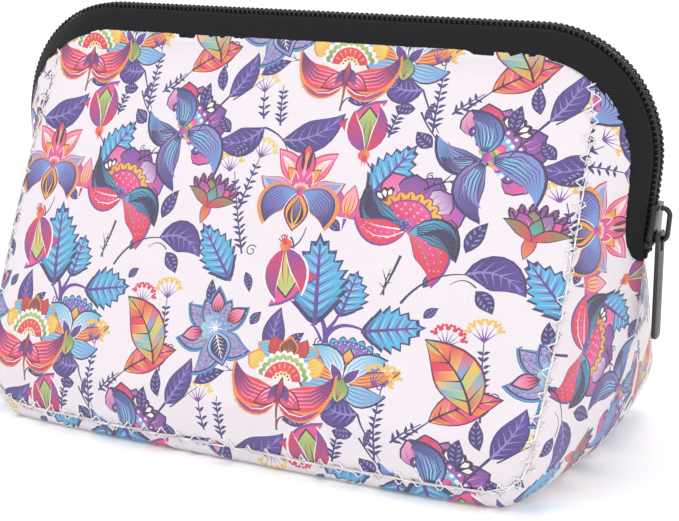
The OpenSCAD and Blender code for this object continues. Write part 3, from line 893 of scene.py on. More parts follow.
def fan_flower(pen):
    """A warm flower: crimson and turquoise petals sweep round a half wheel in orange and pink."""
    pen.fan(0, 8, 19.5, (112, 64, 18), 10.5, ("blush", "mauve", "pink"), ("pink", "violet", "mauve"), fat=0.58,
            hatch="mauve")
    pen.fan(0, 8, 18.0, (88, 42, -6), 10, ("mauve", "white", "violet"), ("violet", "mauve", "pink"), fat=0.62,
            hatch="violet")
    pen.shell(polar(10.0, 136), 136, 6.6)
    pen.shell(polar(10.0, -24), -24, 6.6)
    pen.sector(0, 12.9, -42, 152, "rust", waves=11, depth=1.5)
    pen.sector(0, 12.3, -40, 150, "orange", "gold", waves=11, depth=1.5)
    for a in np.linspace(-32, 142, 11):
        pen.tick(polar(9.6, a), polar(11.9, a), 0.9, "rust")
    pen.sector(0, 9.6, -46, 156, "violet")
    pen.sector(0, 9.0, -46, 156, "crimson", "pink")
    for row, (r, count) in enumerate(((7.9, 9), (6.2, 7), (4.6, 5))):
        pen.dots(0, r, -32 + 6 * row, 142 - 6 * row, count, 0.5, "blush")
    pen.sector(0, 3.6, -60, 170, "violet", "pink", waves=5, depth=0.6)
    pen.dots(0, 2.2, -20, 130, 4, 0.4, "turquoise")
    petals = (((1 + 0j), (-14.5 + 13.5j), 9.0, 0.24, "turquoise", "plum", "plum"),
              ((1 - 1j), (-17.0 + 1.5j), 8.5, 0.16, "crimson", "red", "blush"),
              ((1 - 1j), (12.0 - 19.5j), 11.0, 0.22, "red", "crimson", "blush"),
              ((2 - 2j), (18.0 - 10.5j), 8.5, 0.28, "turquoise", "plum", "plum"))
    for base, tip, width, bend, ink, to, dash in petals:
        pen.blade(base, tip, width, ink, to, bend=bend, fat=0.45, line="violet" if ink != "turquoise" else "dark",
                  thick=0.6, steps=11)
        if ink == "turquoise":
            side, across = spine_of(base, tip, bend, 0.55)
            pen.blade(mix(base, tip, 0.15), mix(base, tip, 0.97), width * 0.5, "indigo", "dark", bend=bend * 1.35,
                      fat=0.6, line=None)
            pen.hatch(base, tip, width, dash, bend=bend, count=6, thick=0.4, start=0.1)
        else:
            pen.blade(mix(base, tip, 0.1), mix(base, tip, 0.9), width * 0.45, "pink", "crimson", bend=bend * 1.2,
                      line=None)
            for k in range(3):
                share = -0.5 + 0.5 * k
                for t in np.linspace(0.2, 0.8, 6):
                    spot, across = spine_of(base, tip, bend, t)
                    pen.disc(spot + across * girth(width, 0.45, t) * share, 0.34, dash, sides=4)
            pen.hatch(base, tip, width, "olive" if tip.imag < -10 else "white", bend=bend, count=2, thick=0.5)
    pen.disc(0, 1.8, "violet", "indigo")
    pen.dots(0, 1.2, 0, 300, 5, 0.3, "turquoise", sides=4)


def lotus(pen):
    """A flower that is the same left and right, with arcs of green, beads and crimson under its crown."""
    for side in (1, -1):
        def m(z):
            return z if side == 1 else -np.conj(z)

        def petal(base, tip, width, ink, to, bend, line="plum", dash=None, fat=0.45):
            pen.blade(m(base), m(tip), width, ink, to, bend=bend * side, line=line, thick=0.6, steps=9, fat=fat)
            if dash:
                pen.hatch(m(base), m(tip), width, dash, bend=bend * side, count=4, thick=0.42, fat=fat)
        petal(5 + 13j, 12.5 + 16.5j, 6.5, "pale", "turquoise", 0.0, "orange", "teal")
        petal(2 + 13j, 6.5 + 20j, 6.0, "rust", "crimson", -0.1, "rust")
        petal(7 + 8j, 15.5 + 11.5j, 7.5, "gold", "yellow", 0.0, "orange", "orange", 0.6)
    pen.blade(0 + 12j, 0 + 20.5j, 7.0, "plum", "rust", line="orange", fat=0.5)
    for a in (60, 75, 90, 105, 120):
        pen.tick(12.6j, 12.6j + polar(5.5, a), 0.5, "orange")
    pen.sector(3j, 12.4, 8, 172, "white", waves=12, depth=1.3)
    pen.sector(3j, 10.9, 8, 172, "olive", "lime", waves=10, depth=1.0)
    pen.sector(3j, 9.0, 8, 172, "white", waves=10, depth=0.9)
    pen.sector(3j, 7.8, 6, 174, "crimson", "red")
    for a in range(30, 151, 20):
        pen.tick(3j + polar(6.9, a), 3j + polar(4.6, a), 0.7, "gold")
    pen.sector(3j, 4.3, 0, 180, "white", "gold", waves=6, depth=0.6)
    pen.dots(3j, 3.0, 20, 160, 6, 0.4, "plum")
    for side in (1, -1):
        def n(z):
            return z if side == 1 else -np.conj(z)

        pen.blade(n(0.2 - 6j), n(17.5 - 7.5j), 6.5, "olive", "rust", bend=0.16 * side, line="orange", thick=0.6)
        pen.blade(n(0.4 - 5j), n(19.5 - 2.0j), 8.0, "crimson", "violet", bend=-0.18 * side, line="orange", thick=0.6,
                  steps=10)
        pen.hatch(n(0.4 - 5j), n(19.5 - 2.0j), 8.0, "white", bend=-0.18 * side, count=3, thick=0.5, end=0.7)
        pen.blade(n(0.3 - 1j), n(21.0 + 8.5j), 10.0, "red", "crimson", bend=-0.27 * side, line="orange", thick=0.65,
                  steps=12, fat=0.4)
        pen.blade(n(6.0 - 3.2j), n(20.6 + 8.0j), 6.0, "crimson", "indigo", bend=-0.20 * side, line=None, steps=9,
                  fat=0.55)
        pen.hatch(n(0.3 - 1j), n(21.0 + 8.5j), 10.0, "blush", bend=-0.27 * side, fat=0.4, count=5, thick=0.5, end=0.72)
        pen.blade(n(0.2 + 0j), n(9.5 - 6.5j), 6.0, "pink", "crimson", bend=-0.05 * side, line="plum")
        pen.hatch(n(0.2 + 0j), n(9.5 - 6.5j), 6.0, "white", count=3, thick=0.4)
        pen.blade(n(0.1 + 2j), n(4.2 - 4.5j), 3.2, "indigo", "violet", line="rust", thick=0.4)
    pen.blade(-6.0j, 4.2j, 2.6, "indigo", "crimson", line="plum")
    pen.stem([-5j, 0.4 - 10j, 0.2 - 15j], 1.3, "rust")


def orchid(pen):
    """A standing flower: a pointed pink star over two blue side petals and a gold lip."""
    for side in (1, -1):
        def m(z):
            return z if side == 1 else -np.conj(z)
        pen.blade(m(2 + 2j), m(17 + 6j), 8.0, "pink", "pale", bend=-0.12 * side, line="crimson", thick=0.5)
        pen.blade(m(4 + 3j), m(16 + 5.5j), 4.2, "blush", "sky", bend=-0.1 * side, line=None)
        pen.hatch(m(2 + 2j), m(17 + 6j), 8.0, "violet", bend=-0.12 * side, count=3)
        pen.blade(m(1 + 4j), m(12 + 17j), 8.0, "red", "blush", bend=0.05 * side, line="crimson", thick=0.6)
        pen.blade(m(1.5 + 5j), m(10.6 + 15j), 4.2, "orange", "white", bend=0.05 * side, line="pink")
        pen.hatch(m(1 + 4j), m(12 + 17j), 8.0, "crimson", count=3)
        pen.blade(m(1 + 3j), m(7 + 10j), 5.0, "gold", "orange", bend=0.1 * side, line="rust", thick=0.35)
    pen.blade(5j, 20j, 7.5, "pink", "red", line="plum", thick=0.5)
    pen.blade(7j, 18j, 3.4, "blush", "orange", line="crimson")
    for side in (1, -1):
        pen.blade(9j + 0.8 * side, 19j + 2.0 * side, 1.5, "plum", line=None)
        pen.blade(2j + 2.5 * side, 9j + 3.5 * side, 2.6, "crimson", "pink", line="white", thick=0.3)
    pen.sector(1j, 5.6, 12, 168, "violet", "pink", waves=7, depth=0.8)
    pen.sector(1j, 4.2, 12, 168, "white", "blush", waves=6, depth=0.6)
    pen.sector(1j, 2.8, 0, 180, "crimson", "orange")
    for side in (1, -1):
        def m(z):
            return z if side == 1 else -np.conj(z)
        pen.blade(m(1.0 + 1.5j), m(12.0 - 12.0j), 10.5, "lavender", "sky", bend=0.24 * side, line="orange", thick=0.9,
                  steps=12, fat=0.5)
        pen.blade(m(1.0 + 1.0j), m(11.8 - 11.6j), 9.8, "lavender", "indigo", bend=0.24 * side, line="line", thick=0.3,
                  steps=12, fat=0.5)
        pen.hatch(m(1.0 + 1.0j), m(11.8 - 11.6j), 9.8, "sky", bend=0.24 * side, count=7, thick=0.5, fat=0.5)
        pen.hatch(m(1.0 + 1.0j), m(11.8 - 11.6j), 7.8, "purple", bend=0.24 * side, count=6, thick=0.3, fat=0.5, start=0.3)
    pen.blade(1.5j, -14.5j, 10.0, "line", "line", line=None, fat=0.5, steps=11)
    pen.blade(0.8j, -13.6j, 8.2, "orange", "gold", line="crimson", thick=0.3, fat=0.5, steps=11)
    for side in (1, -1):
        for k in range(3):
            pen.blade(-12.0j + 0.4 * side, (-2.2 - 1.3 * k) * 1j + (0.9 + 0.8 * k) * side, 0.9, "plum", bend=-0.18 * side,
                      line=None, steps=6)
    pen.blade(-1j, -11j, 2.4, "lavender", "line", line="dark", thick=0.3)
    pen.disc(1.2j, 1.6, "pink", "violet")


def dusk_orchid(pen):
    """The same kind of flower in slate blue with flecks of gold and a blue rim."""
    leaves = ((0, 17, 8.5, 96, 0.0), (0, 16.5, 9.0, 38, -0.05), (0, 16.5, 9.0, 150, 0.05), (0, 13, 8.0, 68, 0.0),
              (0, 13, 8.0, 124, 0.0), (0, 19, 11.0, -22, -0.16), (0, 18, 10.5, 200, 0.14), (0, 21, 9.5, 252, 0.18))
    for near_r, far_r, width, a, bend in leaves:
        base, tip = polar(near_r + 1.0, a), polar(far_r, a)
        pen.blade(base, tip, width, "turquoise", "sky", bend=bend, line="teal", thick=0.35, steps=9)
        pen.blade(base, tip * 0.94, width - 1.6, "grey", "lavender", bend=bend, line="line", thick=0.45, steps=9)
        for k in range(3):
            for t in np.linspace(0.25, 0.85, 6):
                spot, across = spine_of(base, tip, bend, t)
                ink = ("gold", "indigo", "pale")[(k + int(t * 20)) % 3]
                pen.disc(spot + across * girth(width - 2, 0.45, t) * (k - 1) * 0.6, 0.38, ink, sides=4)
        pen.hatch(base, tip * 0.94, width - 1.6, "indigo", bend=bend, count=3, thick=0.3)
    for a in (38, 96, 200):
        pen.blade(polar(6, a), polar(14.5, a), 5.2, "crimson", "blush", line="line", thick=0.7, steps=7)
        pen.hatch(polar(6, a), polar(14.5, a), 5.2, "plum", count=3, thick=0.5, end=0.5)
    pen.sector(0, 6.6, 0, 360, "sky", "pale", waves=9, depth=1.2)
    pen.dots(0, 4.8, 0, 330, 12, 0.5, "gold")
    pen.disc(0, 3.4, "lavender", "pale")
    for a in range(0, 360, 45):
        pen.tick(0, polar(4.4, a), 0.7, "white")
    pen.blade(polar(1.5, -65), polar(15.5, -65), 9.8, "pale", "sky", line="line", thick=0.5, steps=10)
    pen.blade(polar(2.5, -65), polar(14.0, -65), 7.4, "dark", "indigo", line="lavender", thick=0.4, steps=10)
    pen.veins(polar(2.5, -65), polar(13.6, -65), 6.8, "white", count=6, thick=0.4)


def crown_flower(pen):
    """A half wheel in blue scallops over pale curved petals, on a green cup."""
    pen.sector(0, 17.0, 28, 152, "line", waves=9, depth=1.8)
    pen.sector(0, 16.4, 29, 151, "sky", "turquoise", waves=9, depth=1.8)
    for a in np.linspace(36, 144, 9):
        pen.sector(polar(11.5, a), 3.6, a - 60, a + 60, "lavender", "purple")
        pen.dots(polar(11.5, a), 2.9, a - 45, a + 45, 4, 0.32, "white", sides=4)
    pen.sector(0, 12.4, 36, 144, "purple", "mauve", waves=7, depth=1.5)
    for a in np.linspace(40, 140, 11):
        pen.tick(polar(4, a), polar(12.2, a), 0.55, "blush")
    pen.fan(0, 1, 12.0, (62, 90, 118), 4.6, ("crimson", "red", "crimson"), ("orange", "gold", "orange"), fat=0.6,
            line="plum")
    pen.fan(0, 2, 8.0, (76, 104), 3.2, ("gold", "gold"), ("lime", "lime"), fat=0.6, line="rust", thick=0.3)
    for side in (1, -1):
        def m(z):
            return z if side == 1 else -np.conj(z)
        pen.blade(m(1 + 0j), m(19.5 + 7.5j), 5.0, "crimson", "orange", bend=-0.06 * side, line="line")
        pen.hatch(m(1 + 0j), m(19.5 + 7.5j), 5.0, "gold", bend=-0.06 * side, count=3, thick=0.5)
        pen.blade(m(1 - 1j), m(14.5 + 10.5j), 7.0, "white", "turquoise", bend=0.18 * side, line="line", thick=0.5)
        pen.hatch(m(1 - 1j), m(14.5 + 10.5j), 7.0, "turquoise", bend=0.18 * side, count=4, thick=0.5)
        pen.blade(m(0.5 - 2j), m(16.5 - 2.5j), 7.5, "pale", "sky", bend=-0.14 * side, line="line", thick=0.5)
        pen.hatch(m(0.5 - 2j), m(16.5 - 2.5j), 7.5, "teal", bend=-0.14 * side, count=4, thick=0.4)
        pen.blade(m(0.3 - 1j), m(5.5 + 5.5j), 3.6, "indigo", "violet", line="white", thick=0.3)
    pen.blade(1j, -8.5j, 6.4, "olive", "lime", line="line", fat=0.5)
    for side in (-1, 0, 1):
        pen.tick(-7.5j, -1j + 2.0 * side, 0.5, "rust")
    pen.stem([-8j, -1.5 - 11j, -5 - 14j], 1.0)


def tulip(pen, cup="olive", tip_ink="crimson"):
    """A closed bud with a green heart and curled outer petals."""
    pen.blade(0, -8.5 + 10j, 7.5, "red", tip_ink, bend=-0.22, line="violet")
    pen.hatch(0, -8.5 + 10j, 7.5, "blush", bend=-0.22, count=3, thick=0.5)
    pen.blade(0, 6.5 + 15.5j, 8.0, "crimson", "pink", bend=0.26, line="violet")
    pen.hatch(0, 6.5 + 15.5j, 8.0, "gold", bend=0.26, count=3, thick=0.5)
    pen.blade(0, 1.2 + 14j, 8.5, cup, "lime", line="plum", thick=0.5)
    pen.hatch(0, 1.2 + 14j, 8.5, "rust", count=4, thick=0.5)
    pen.blade(0, -3.4 + 14.2j, 4.6, "violet", "crimson", bend=0.12, line="white", thick=0.5)
    pen.blade(0.3, 4.4 + 14.6j, 4.4, "crimson", "violet", bend=-0.16, line="white", thick=0.5)
    pen.disc(-0.2 - 0.8j, 1.9, "orange", "red")
    for a in (250, 270, 290):
        pen.tick(-1j, -1j + polar(3.4, a), 1.1, "crimson")


def small_bud(pen):
    pen.blade(0, -4.2 + 8.5j, 4.6, "pink", "mauve", bend=0.16, line="violet", thick=0.35)
    pen.blade(0, 4.2 + 8.5j, 4.6, "pink", "mauve", bend=-0.16, line="violet", thick=0.35)
    pen.blade(0, 9.5j, 4.6, "gold", "blush", line="crimson", thick=0.35)
    pen.hatch(0, 9.5j, 4.6, "crimson", count=3, thick=0.35)
    pen.tick(-0.5j, -4.5j, 1.2, "violet")


def carnation(pen):
    """A diamond of toothed petals over a striped cup."""
    pen.sector(-1j, 13.5, 38, 142, "plum", waves=7, depth=2.6)
    pen.sector(-1j, 12.8, 40, 140, "pink", "violet", waves=7, depth=2.6)
    for a in np.linspace(46, 134, 12):
        pen.tick(-1j + polar(12.0, a), -1j + polar(4, a), 0.75, "plum")
    pen.fan(0, 1, 9.8, (52, 74, 106, 128), 4.6, ("crimson", "olive", "pink", "crimson"),
            ("pink", "mauve", "olive", "mauve"), line="plum", thick=0.4, hatch="blush")
    pen.blade(-1j, 7.5j, 4.6, "turquoise", "olive", line="plum", thick=0.4)
    pen.blade(2.6j, -5.5j, 3.4, "crimson", "orange", line="violet", thick=0.35)
    for side in (1, -1):
        pen.blade(0, 9.5 * side + 4.5j, 3.2, "crimson", "olive", bend=0.1 * side, line="plum", thick=0.4)


def twig(pen, ink="dark"):
    """A bare forked twig."""
    pen.stem([0, 5 + 2j, 11 + 3j], 0.8, ink)
    for root, tip in ((3 + 1.2j, 4 + 5j), (6 + 2.3j, 10 + 6.5j), (8 + 2.7j, 12 + 0.5j), (5 + 2j, 6.5 - 1.0j)):
        pen.tick(root, tip, 0.65, ink)


def foliage(pen):
    """A branch with three toothed leaves and a purple trunk."""
    pen.stem([30 + 34j, 29.5 + 44j, 25 + 52j], 2.6, "purple")
    pen.stem([29.5 + 43j, 34 + 48j, 42 + 47.5j], 1.8, "purple")
    pen.stem([29 + 45j, 32 + 50j, 33 + 55j], 1.5, "purple")
    pen.stem([28.5 + 42j, 25.5 + 46j, 23.5 + 47j], 1.0, "purple")
    serrated_leaf(pen, 33 + 51j, 36 + 67j, 13.5, 6)
    serrated_leaf(pen, 41 + 47j, 61 + 51j, 15.0, 6)
    serrated_leaf(pen, 25 + 47j, 20.5 + 78j, 20.5, 8)


STRIPES = ("crimson", "orange", "lime", "turquoise", "gold", "red")
WARM = ("crimson", "red", "orange", "pink")
REPEAT = 112.0


def repeat_of_print(pen):
    """One repeat of the pattern: stems first, then leaves, then flowers."""
    for line, width in ((((-52 + 14j), (-48 + 18j), (-45 + 21j)), 0.9), (((45 + 20j), (49 + 12j), (53 + 5j)), 0.7),
                        (((-60 + 58j), (-52 + 67j), (-41 + 70j)), 0.9), (((-26 + 12j), (-33 + 3j), (-36 - 2j)), 0.9),
                        (((-9 + 114j), (-2 + 111j), (2 + 106j)), 0.8), (((-24 + 11j), (-20 + 14j), (-13 + 20j)), 0.6),
                        (((18 + 10j), (20 + 15j), (27 + 14.5j)), 0.7), (((13 + 34j), (15 + 30j), (14 + 27j)), 0.7),
                        (((10 + 76j), (12 + 71j), (10 + 62j)), 0.7), (((-63 + 74j), (-65 + 66j), (-67 + 60j)), 1.0),
                        (((9 + 72j), (13 + 74j), (15 + 80j)), 0.8), (((-38 + 66j), (-42 + 68j), (-46 + 66j)), 0.5),
                        (((30 + 106j), (33 + 103j), (35 + 100j)), 0.6), (((-66 + 124j), (-62 + 118j), (-58 + 114j)), 0.7)):
        pen.stem(line, width)
    twig(pen.at(-60 + 97j, 8))
    twig(pen.at(-66 + 60j, 70, 0.8))
    twig(pen.at(2 + 27j, 150, 0.6))
    for spot, size, a in ((-2 + 71j, 2.2, 40), (6 + 75j, 1.6, 200), (27 + 43j, 2.0, 120), (-26 + 32j, 1.6, 20),
                          (-22 + 49j, 1.5, 100), (-58 + 103j, 1.3, 60), (52 + 30j, 1.5, 10)):
        pen.curl(spot, size, a)
    sprig(pen, 51 + 5j, 51 + 30j, 9, umbel="gold")
    sprig(pen, -30 + 23j, -33 + 49j, 10, umbel="gold")
    sprig(pen, -7 + 68j, -17 + 97j, 11)
    sprig(pen, -12 + 84j, -8 + 103j, 6, umbel="yellow")
    head(pen, -19 + 97j, 100, 6, "gold")
    sprig(pen, -3 + 3j, -5 + 18j, 6)
    sprig(pen, 37 + 2j, 40 + 15j, 6)
    sprig(pen, -10 + 5j, -12 + 15j, 3, umbel="yellow")
    head(pen, -64 + 30j, 60, 6, "gold")
    head(pen, -44 + 46j, 80, 6, "crimson")
    sprig(pen, -56 + 12j, -47 + 20j, 4)
    foliage(pen)
    serrated_leaf(pen, 34 + 92j, 47 + 112j, 14.0)
    serrated_leaf(pen, -9 + 58j, -25 + 77j, 13.5)
    for base, tip, width, bend in ((45 + 20j, 32 + 23j, 9.5, 0.16), (-42 + 70j, -24 + 65j, 11.0, 0.2),
                                   (13 + 34j, 12 + 51j, 7.5, 0.08), (-26 + 12j, -18 + 29j, 8.0, -0.08),
                                   (-9 + 114j, -27 + 108j, 10.0, 0.18), (-1 + 110j, 20 + 121j, 11.0, -0.14)):
        vein_leaf(pen, base, tip, width, bend)
    for base, tip, width in ((-43 + 77j, -38 + 88j, 5.5), (-38 + 65j, -32 + 58j, 5.5), (-14 + 48j, -16 + 58j, 4.2),
                             (2 + 44j, 5 + 49j, 3.6), (16 + 37j, 22 + 44j, 4.4), (-29 + 14j, -31 + 24j, 4.4),
                             (-15 + 21j, -4 + 27j, 5.2), (-36 + 7j, -35 + 17j, 5.0), (-13 + 108j, -20 + 103j, 5.2),
                             (20 + 14j, 30 + 15j, 5.4), (27 + 80j, 22 + 85j, 3.8), (44 + 13j, 37 + 13j, 4.4),
                             (-60 + 112j, -66 + 117j, 5.6), (48 + 9j, 50 + 16j, 2.2), (-22 - 1j, -27 + 5j, 4.6),
                             (-4 + 62j, -1 + 55j, 3.2), (-52 + 54j, -48 + 58j, 3.2), (58 + 64j, 62 + 70j, 3.4)):
        window_leaf(pen, base, tip, width)
    striped_leaf(pen, -45 + 21j, -25 + 31j, 9.5, WARM, 0.06)
    striped_leaf(pen, -33 + 25j, -50 + 47j, 13.5, STRIPES, -0.10)
    tulip(pen.at(30 + 108j, 10, 1.12))
    tulip(pen.at(9 + 72j, 197, 1.2), cup="gold")
    small_bud(pen.at(28 + 85j, -6, 1.15))
    carnation(pen.at(-25 + 83j, -12, 1.05))
    crown_flower(pen.at(38 + 30j, -4, 0.88))
    dusk_orchid(pen.at(-11 + 41j, 0, 0.86))
    lotus(pen.at(17.6 + 24j, 0, 0.86))
    orchid(pen.at(10 + 91j, 0, 0.90))
    fan_flower(pen.at(48.2 + 84j, 0, 0.98))
    swoosh_flower(pen.at(-42.5 + 110j, 0, 1.0))


def printed(outline, cloth, back, spots):
    """Draws the print wherever it meets the cut cloth. cloth places print points on it, back undoes that."""
    shapes = []
    edge = back(outline[:, 0] + 1j * outline[:, 1])
    low, high = (edge.real.min(), edge.imag.min()), (edge.real.max(), edge.imag.max())
    one = []
    repeat_of_print(Pen(one))
    for right in range(-4, 5):
        for up in range(-3, 4):
            shift = REPEAT * (right + 1j * up)
            for points, ink, to, start, way in one:
                moved = points + shift
                if (moved.real.max() < low[0] or moved.real.min() > high[0]
                        or moved.imag.max() < low[1] or moved.imag.min() > high[1]):
                    continue
                ends = cloth(np.array([start + shift, start + shift + 1 / np.conj(way) if abs(way) > 0 else start]))
                run = ends[1] - ends[0]
                shapes.append((cloth(moved), ink, to, ends[0], run / max(abs(run) ** 2, 1e-9)))
    return shapes


CELL = 16.0


def clipped(polygon, low, high):
    """The part of a flat polygon inside a rectangle."""
    for axis, limit, sign in ((0, low[0], 1), (0, high[0], -1), (1, low[1], 1), (1, high[1], -1)):
        kept = []
        for i, p in enumerate(polygon):
            q = polygon[i - 1]
            p_in, q_in = sign * (p[axis] - limit) >= 0, sign * (q[axis] - limit) >= 0
            if p_in != q_in:
                t = (limit - q[axis]) / (p[axis] - q[axis])
                kept.append((q[0] + t * (p[0] - q[0]), q[1] + t * (p[1] - q[1])))
            if p_in:
                kept.append((p[0], p[1]))
        polygon = kept
        if not polygon:
            break
    turned = sum(p[0] * q[1] - p[1] * q[0] for p, q in zip(polygon, polygon[1:] + polygon[:1]))
    return polygon if turned > 0 else polygon[::-1]


def inside(points, polygon):
    """Which points lie inside a polygon, by winding."""
    a = np.asarray(polygon, float)
    b = np.roll(a, -1, axis=0)
    x, y = points[:, :1], points[:, 1:]
    left = (b[:, 0] - a[:, 0]) * (y - a[:, 1]) - (x - a[:, 0]) * (b[:, 1] - a[:, 1])
    up = (a[:, 1] <= y) & (b[:, 1] > y) & (left > 0)
    down = (a[:, 1] > y) & (b[:, 1] <= y) & (left < 0)
    return (up.sum(1) - down.sum(1)) != 0


def cut_cell(outline, shapes, boxes, low, high, spacing):
    """Cuts one square of cloth along the outline and the printed shapes; gives points, faces and their shapes."""
    piece = clipped([tuple(p) for p in outline], low, high)
    if len(piece) < 3:
        return None
    verts = [Vector(p) for p in piece]
    faces = [list(range(len(piece)))]
    steps = int(CELL / spacing)
    for i in range(steps + 1):
        for j in range(steps + 1):
            verts.append(Vector((low[0] + CELL * i / steps, low[1] + CELL * j / steps)))
    hits = np.nonzero((boxes[:, 0] < high[0]) & (boxes[:, 2] > low[0])
                      & (boxes[:, 1] < high[1]) & (boxes[:, 3] > low[1]))[0]
    used = []
    for k in hits:
        part = clipped(shapes[k][5], low, high)
        if len(part) < 3:
            continue
        used.append((k, part))
        faces.append(list(range(len(verts), len(verts) + len(part))))
        verts += [Vector(p) for p in part]
    spots, _, cut, _, _, _ = delaunay_2d_cdt(verts, [], faces, 0, 1e-4, False)
    flat = np.array([tuple(p) for p in spots])
    middles = flat[np.array([f[:3] for f in cut])].mean(1)
    keep = inside(middles, outline)
    tops = np.full(len(cut), -1)
    for k, part in used:
        part = np.array(part)
        low_p, high_p = part.min(0), part.max(0)
        near_by = np.nonzero(((middles >= low_p) & (middles <= high_p)).all(1))[0]
        if len(near_by):
            tops[near_by[inside(middles[near_by], part)]] = k
    return flat, [f for f, k in zip(cut, keep) if k], tops[keep]


def print_on(name, outline, place, cloth, back, material, outward, spacing=3.2):
    """Cuts the cloth square by square along every printed shape, shapes it, and inks each face."""
    shapes = [(*shape, [(p.real, p.imag) for p in shape[0]]) for shape in printed(outline, cloth, back, None)]
    boxes = np.array([[p.real.min(), p.imag.min(), p.real.max(), p.imag.max()] for p, *_ in shapes])
    low, high = outline.min(0), outline.max(0)
    points, faces, corner_ink, start_at = [], [], [], 0
    ground = np.array(INK["ground"])
    for x in np.arange(low[0], high[0], CELL):
        for y in np.arange(low[1], high[1], CELL):
            found = cut_cell(outline, shapes, boxes, (x, y), (x + CELL, y + CELL), spacing)
            if found is None or not found[1]:
                continue
            flat, cut, tops = found
            z = flat[:, 0] + 1j * flat[:, 1]
            for face, top in zip(cut, tops):
                face = face if outward > 0 else face[::-1]
                if top < 0:
                    corner_ink += [ground] * len(face)
                else:
                    _, ink, to, start, way, _ = shapes[top]
                    t = np.clip(((z[face] - start) * np.conj(way)).real, 0, 1)[:, None]
                    corner_ink += list(np.array(ink) * (1 - t) + np.array(to) * t)
                faces.append([i + start_at for i in face])
            points.append(flat)
            start_at += len(flat)
    flat = np.vstack(points)
    used = np.unique(np.concatenate([np.array(f) for f in faces]))
    index = np.full(len(flat), -1)
    index[used] = np.arange(len(used))
    faces = [[int(index[i]) for i in f] for f in faces]
    flat = flat[used]
    piece = mesh_object(name, place(flat), faces, material, flat)
    ink = piece.data.color_attributes.new("print_ink", "FLOAT_COLOR", "CORNER")
    ink.data.foreach_set("color", np.c_[np.array(corner_ink), np.ones(len(corner_ink))].astype(np.float32).ravel())
    print(name, "faces", len(faces))
    return piece


# The print is pulled a little wider toward the right of the front
def front_cloth(z):
    return z.real * (1.035 + 0.0008 * z.real) + 1j * z.imag


def front_back(z):
    return (-1.035 + np.sqrt(1.035 ** 2 + 0.0032 * z.real)) / 0.0016 + 1j * z.imag


def strip_cloth(z):
    """The strip is cut across the print."""
    return 206.0 - z.real + 1j * (z.imag - 117.0)


def rear_cloth(z):
    return -(z.real - 30) + 1j * (z.imag - 47)


def mirrored_y(points):
    return points * [1, -1, 1]


# ---------------------------------------------------------------- pieces

def bag_cloth():
    knit = printed_knit()
    outline = panel_outline()
    front = print_on("front_panel_cloth", outline, lambda f: panel_points(f, 0.0), front_cloth, front_back, knit, 1)
    back = print_on("back_panel_cloth", outline, lambda f: mirrored_y(panel_points(f, 2.2)), rear_cloth,
                    lambda z: -z.real + 30 + 1j * (z.imag + 47), knit, -1)
    strip = gusset_outline()
    turn, end = STRIP_A[30 + 17], STRIP_A[-1] + 1
    pieces = [(front, outline, "front_panel"), (back, outline, "back_panel")]
    for node, start, stop in (("base_gusset", -turn, turn), ("right_gusset", turn, end),
                              ("left_gusset", -end, -turn)):
        cut = clipped([tuple(p) for p in strip], (start, strip[:, 1].min()), (stop, strip[:, 1].max()))
        piece = print_on(node + "_cloth", np.array(cut), lambda f: gusset_points(f, 0.7), strip_cloth,
                         lambda z: 206.0 - z.real + 1j * (z.imag + 117.0), knit, -1)
        pieces.append((piece, np.array(cut), node))
    for piece, edge, node in pieces:
        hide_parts(node)
        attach(piece, "bag")


def zip_tapes():
    """Two woven tapes, each from the chain to the edge of the cloth, with a doubled root beside the chain."""
    weave = woven_tape()
    s = np.concatenate([np.linspace(0.3, POINT_LEN, 40), np.linspace(POINT_LEN, TOP_S, 260)[1:]])
    right_mid, right_edge = zip_point(s), tape_edge(s)
    middle = np.vstack([right_mid, (right_mid * [-1, 1, 1])[-2::-1]])
    edge = np.vstack([right_edge, (right_edge * [-1, 1, 1])[-2::-1]])
    out = np.vstack([zip_out(s), (zip_out(s) * [-1, 1, 1])[-2::-1]])
    run = along(middle)
    width = np.concatenate([taper(s), taper(s)[-2::-1]])
    steps = np.linspace(0, 1, 9)
    rows = []
    for t in steps:
        root = middle - np.array([0, 1, 0]) * (CHAIN_W / 2 - 0.7) * np.minimum(1, width * 1.4)[:, None]
        bend = root.copy()
        bend[:, 1] = mix(root[:, 1], edge[:, 1], TAPE_FLAT)
        spot = np.where(t < TAPE_FLAT, mix(root, bend, min(t / TAPE_FLAT, 1)),
                        mix(bend, edge, max((t - TAPE_FLAT) / (1 - TAPE_FLAT), 0)))
        lift = 0.55 * math.sin(math.pi * t) + 0.12 * np.sin(run / 9.0 + 4 * t) * t
        rows.append(spot + out * (np.atleast_1d(lift) - 0.35)[:, None] * width[:, None])
    hidden = edge + (edge - rows[-2]) * 0.9 - out * 1.2
    rows.append(hidden)
    points = np.stack(rows, 1).reshape(-1, 3)
    count = len(steps) + 1
    across = np.concatenate([steps * TAPE_W, [TAPE_W + 1.0]])
    flat = np.stack([np.repeat(run, count), np.tile(across, len(run))], 1)
    for name, node, side in (("front_tape_weave", "front_zip_tape", 1), ("back_tape_weave", "back_zip_tape", -1)):
        faces = grid_faces(len(run), count)
        faces = faces if side > 0 else [f[::-1] for f in faces]
        piece = mesh_object(name, points * [1, side, 1], faces, weave, flat)
        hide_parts(node)
        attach(piece, "bag")


COIL_PITCH = 1.95


